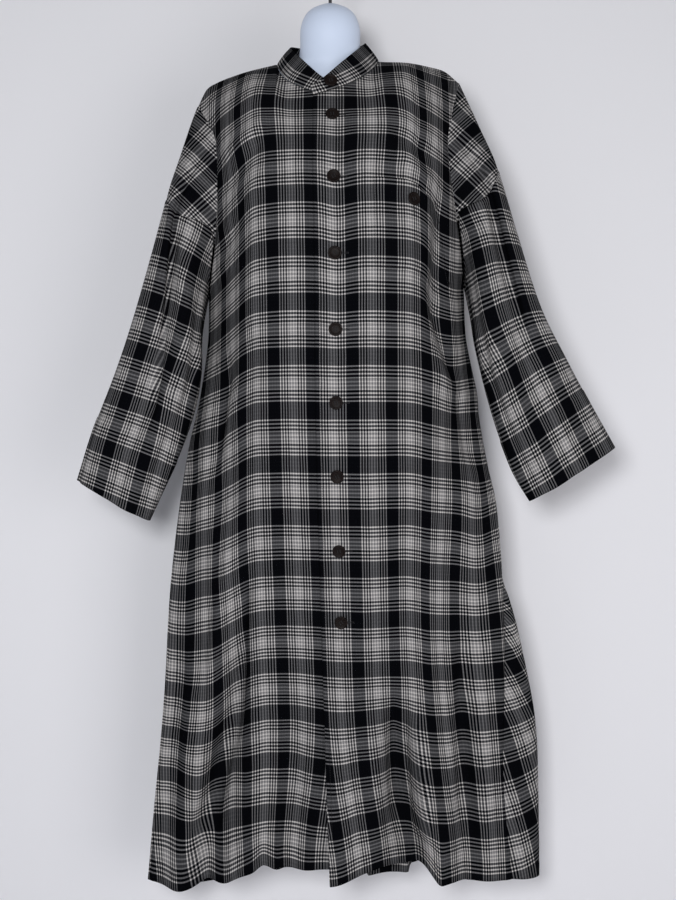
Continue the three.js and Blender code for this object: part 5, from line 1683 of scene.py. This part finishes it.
edge_path = [(2.2, r) for r in np.linspace(0.5, rows - 4, 500)]
stitches = stitch_row(left_front, left_normals, edge_path)
stitches += stitch_row(left_front, left_normals, hem_path(left_front, 0.5, 400))
sewn("stitches_front_left", stitches)
right_normals = grid_normals(right_front, False, True)
right_hem = stitch_row(right_front, right_normals, hem_path(right_front, 0.5, 400))
sewn("stitches_front_right", right_hem)
back_normals = grid_normals(whole_back)
sewn("stitches_back", stitch_row(whole_back, back_normals, hem_path(whole_back, 1, 700)))
last_column, last_row = patch.shape[0] - 1, patch.shape[1] - 1
inset = 1.4
right_side = last_column - inset
stitches = []
for path in (
    [(inset, r) for r in np.linspace(last_row, inset, 120)],
    [(c, inset) for c in np.linspace(inset, right_side, 120)],
    [(right_side, r) for r in np.linspace(inset, last_row, 120)],
):
    stitches += stitch_row(patch, patch_directions, path)
sewn("stitches_pocket", stitches)

points, faces = form_body()
finish_piece(new_object("form_shell", points, faces), shell_white, ["torso_form"])
points, faces = hook_wire()
finish_piece(new_object("hook_wire", points, faces), steel, ["hook"])

# ------------------------------------------------------------------ room, light, camera

WALL_Y = 0.215
FLOOR_Z = -1.80
ROOM_SIDE = 3
ROOM_TOP = 2.2
ROOM_FRONT = -4.5


def plane(name, corners, material):
    mesh = bpy.data.meshes.new(name)
    mesh.from_pydata(corners, [], [(0, 1, 2, 3)])
    obj = bpy.data.objects.new(name, mesh)
    bpy.context.scene.collection.objects.link(obj)
    obj.data.materials.append(material)
    return obj


wall_paint = plain_material("wall_paint", (0.84, 0.845, 0.885), 0.9, 0.6, 0.015)
floor_paint = plain_material("floor_paint", (0.80, 0.80, 0.83), 0.9, 0.6, 0.02)
foot_left, foot_right = (-ROOM_SIDE, WALL_Y, FLOOR_Z), (ROOM_SIDE, WALL_Y, FLOOR_Z)
wall_top = [(ROOM_SIDE, WALL_Y, ROOM_TOP), (-ROOM_SIDE, WALL_Y, ROOM_TOP)]
plane("wall", [foot_left, foot_right, *wall_top], wall_paint)
floor_front = [(-ROOM_SIDE, ROOM_FRONT, FLOOR_Z), (ROOM_SIDE, ROOM_FRONT, FLOOR_Z)]
plane("floor", [foot_left, *floor_front, foot_right], floor_paint)


def area_light(name, location, target, size, power, colour):
    data = bpy.data.lights.new(name, "AREA")
    data.shape = "RECTANGLE"
    data.size, data.size_y = size
    data.energy = power
    data.color = colour
    obj = bpy.data.objects.new(name, data)
    obj.location = location
    way = np.array(target, float) - np.array(location, float)
    obj.rotation_euler = Vector(way).to_track_quat("-Z", "Y").to_euler()
    bpy.context.scene.collection.objects.link(obj)


area_light("key", (-0.26, -2.15, -0.55), (0, 0, -0.62), (0.42, 0.42), 27.5, (0.985, 0.985, 0.99))
area_light("fill", (1.5, -2.3, -1.15), (0.4, 0.2, -0.9), (1.6, 1.6), 18.0, (1.0, 0.965, 0.945))
world = bpy.data.worlds.new("room")
world.use_nodes = True
world.node_tree.nodes["Background"].inputs[0].default_value = (0.97, 0.98, 1.0, 1)
world.node_tree.nodes["Background"].inputs[1].default_value = 0.22
scene = bpy.context.scene
scene.world = world
scene.view_settings.view_transform = "Standard"

CAMERA_PLACE = (12.0, -1865.0, 683.0)
camera_data = bpy.data.cameras.new("camera")
camera_data.sensor_fit = "VERTICAL"
camera_data.sensor_height = 36.0
camera_data.lens = 48.28
camera_data.dof.use_dof = False
camera = bpy.data.objects.new("camera", camera_data)
camera.location = tuple((np.array(CAMERA_PLACE) + SHIFT) / 1000)
camera.rotation_euler = (math.radians(90), 0, 0)
scene.collection.objects.link(camera)
scene.camera = camera
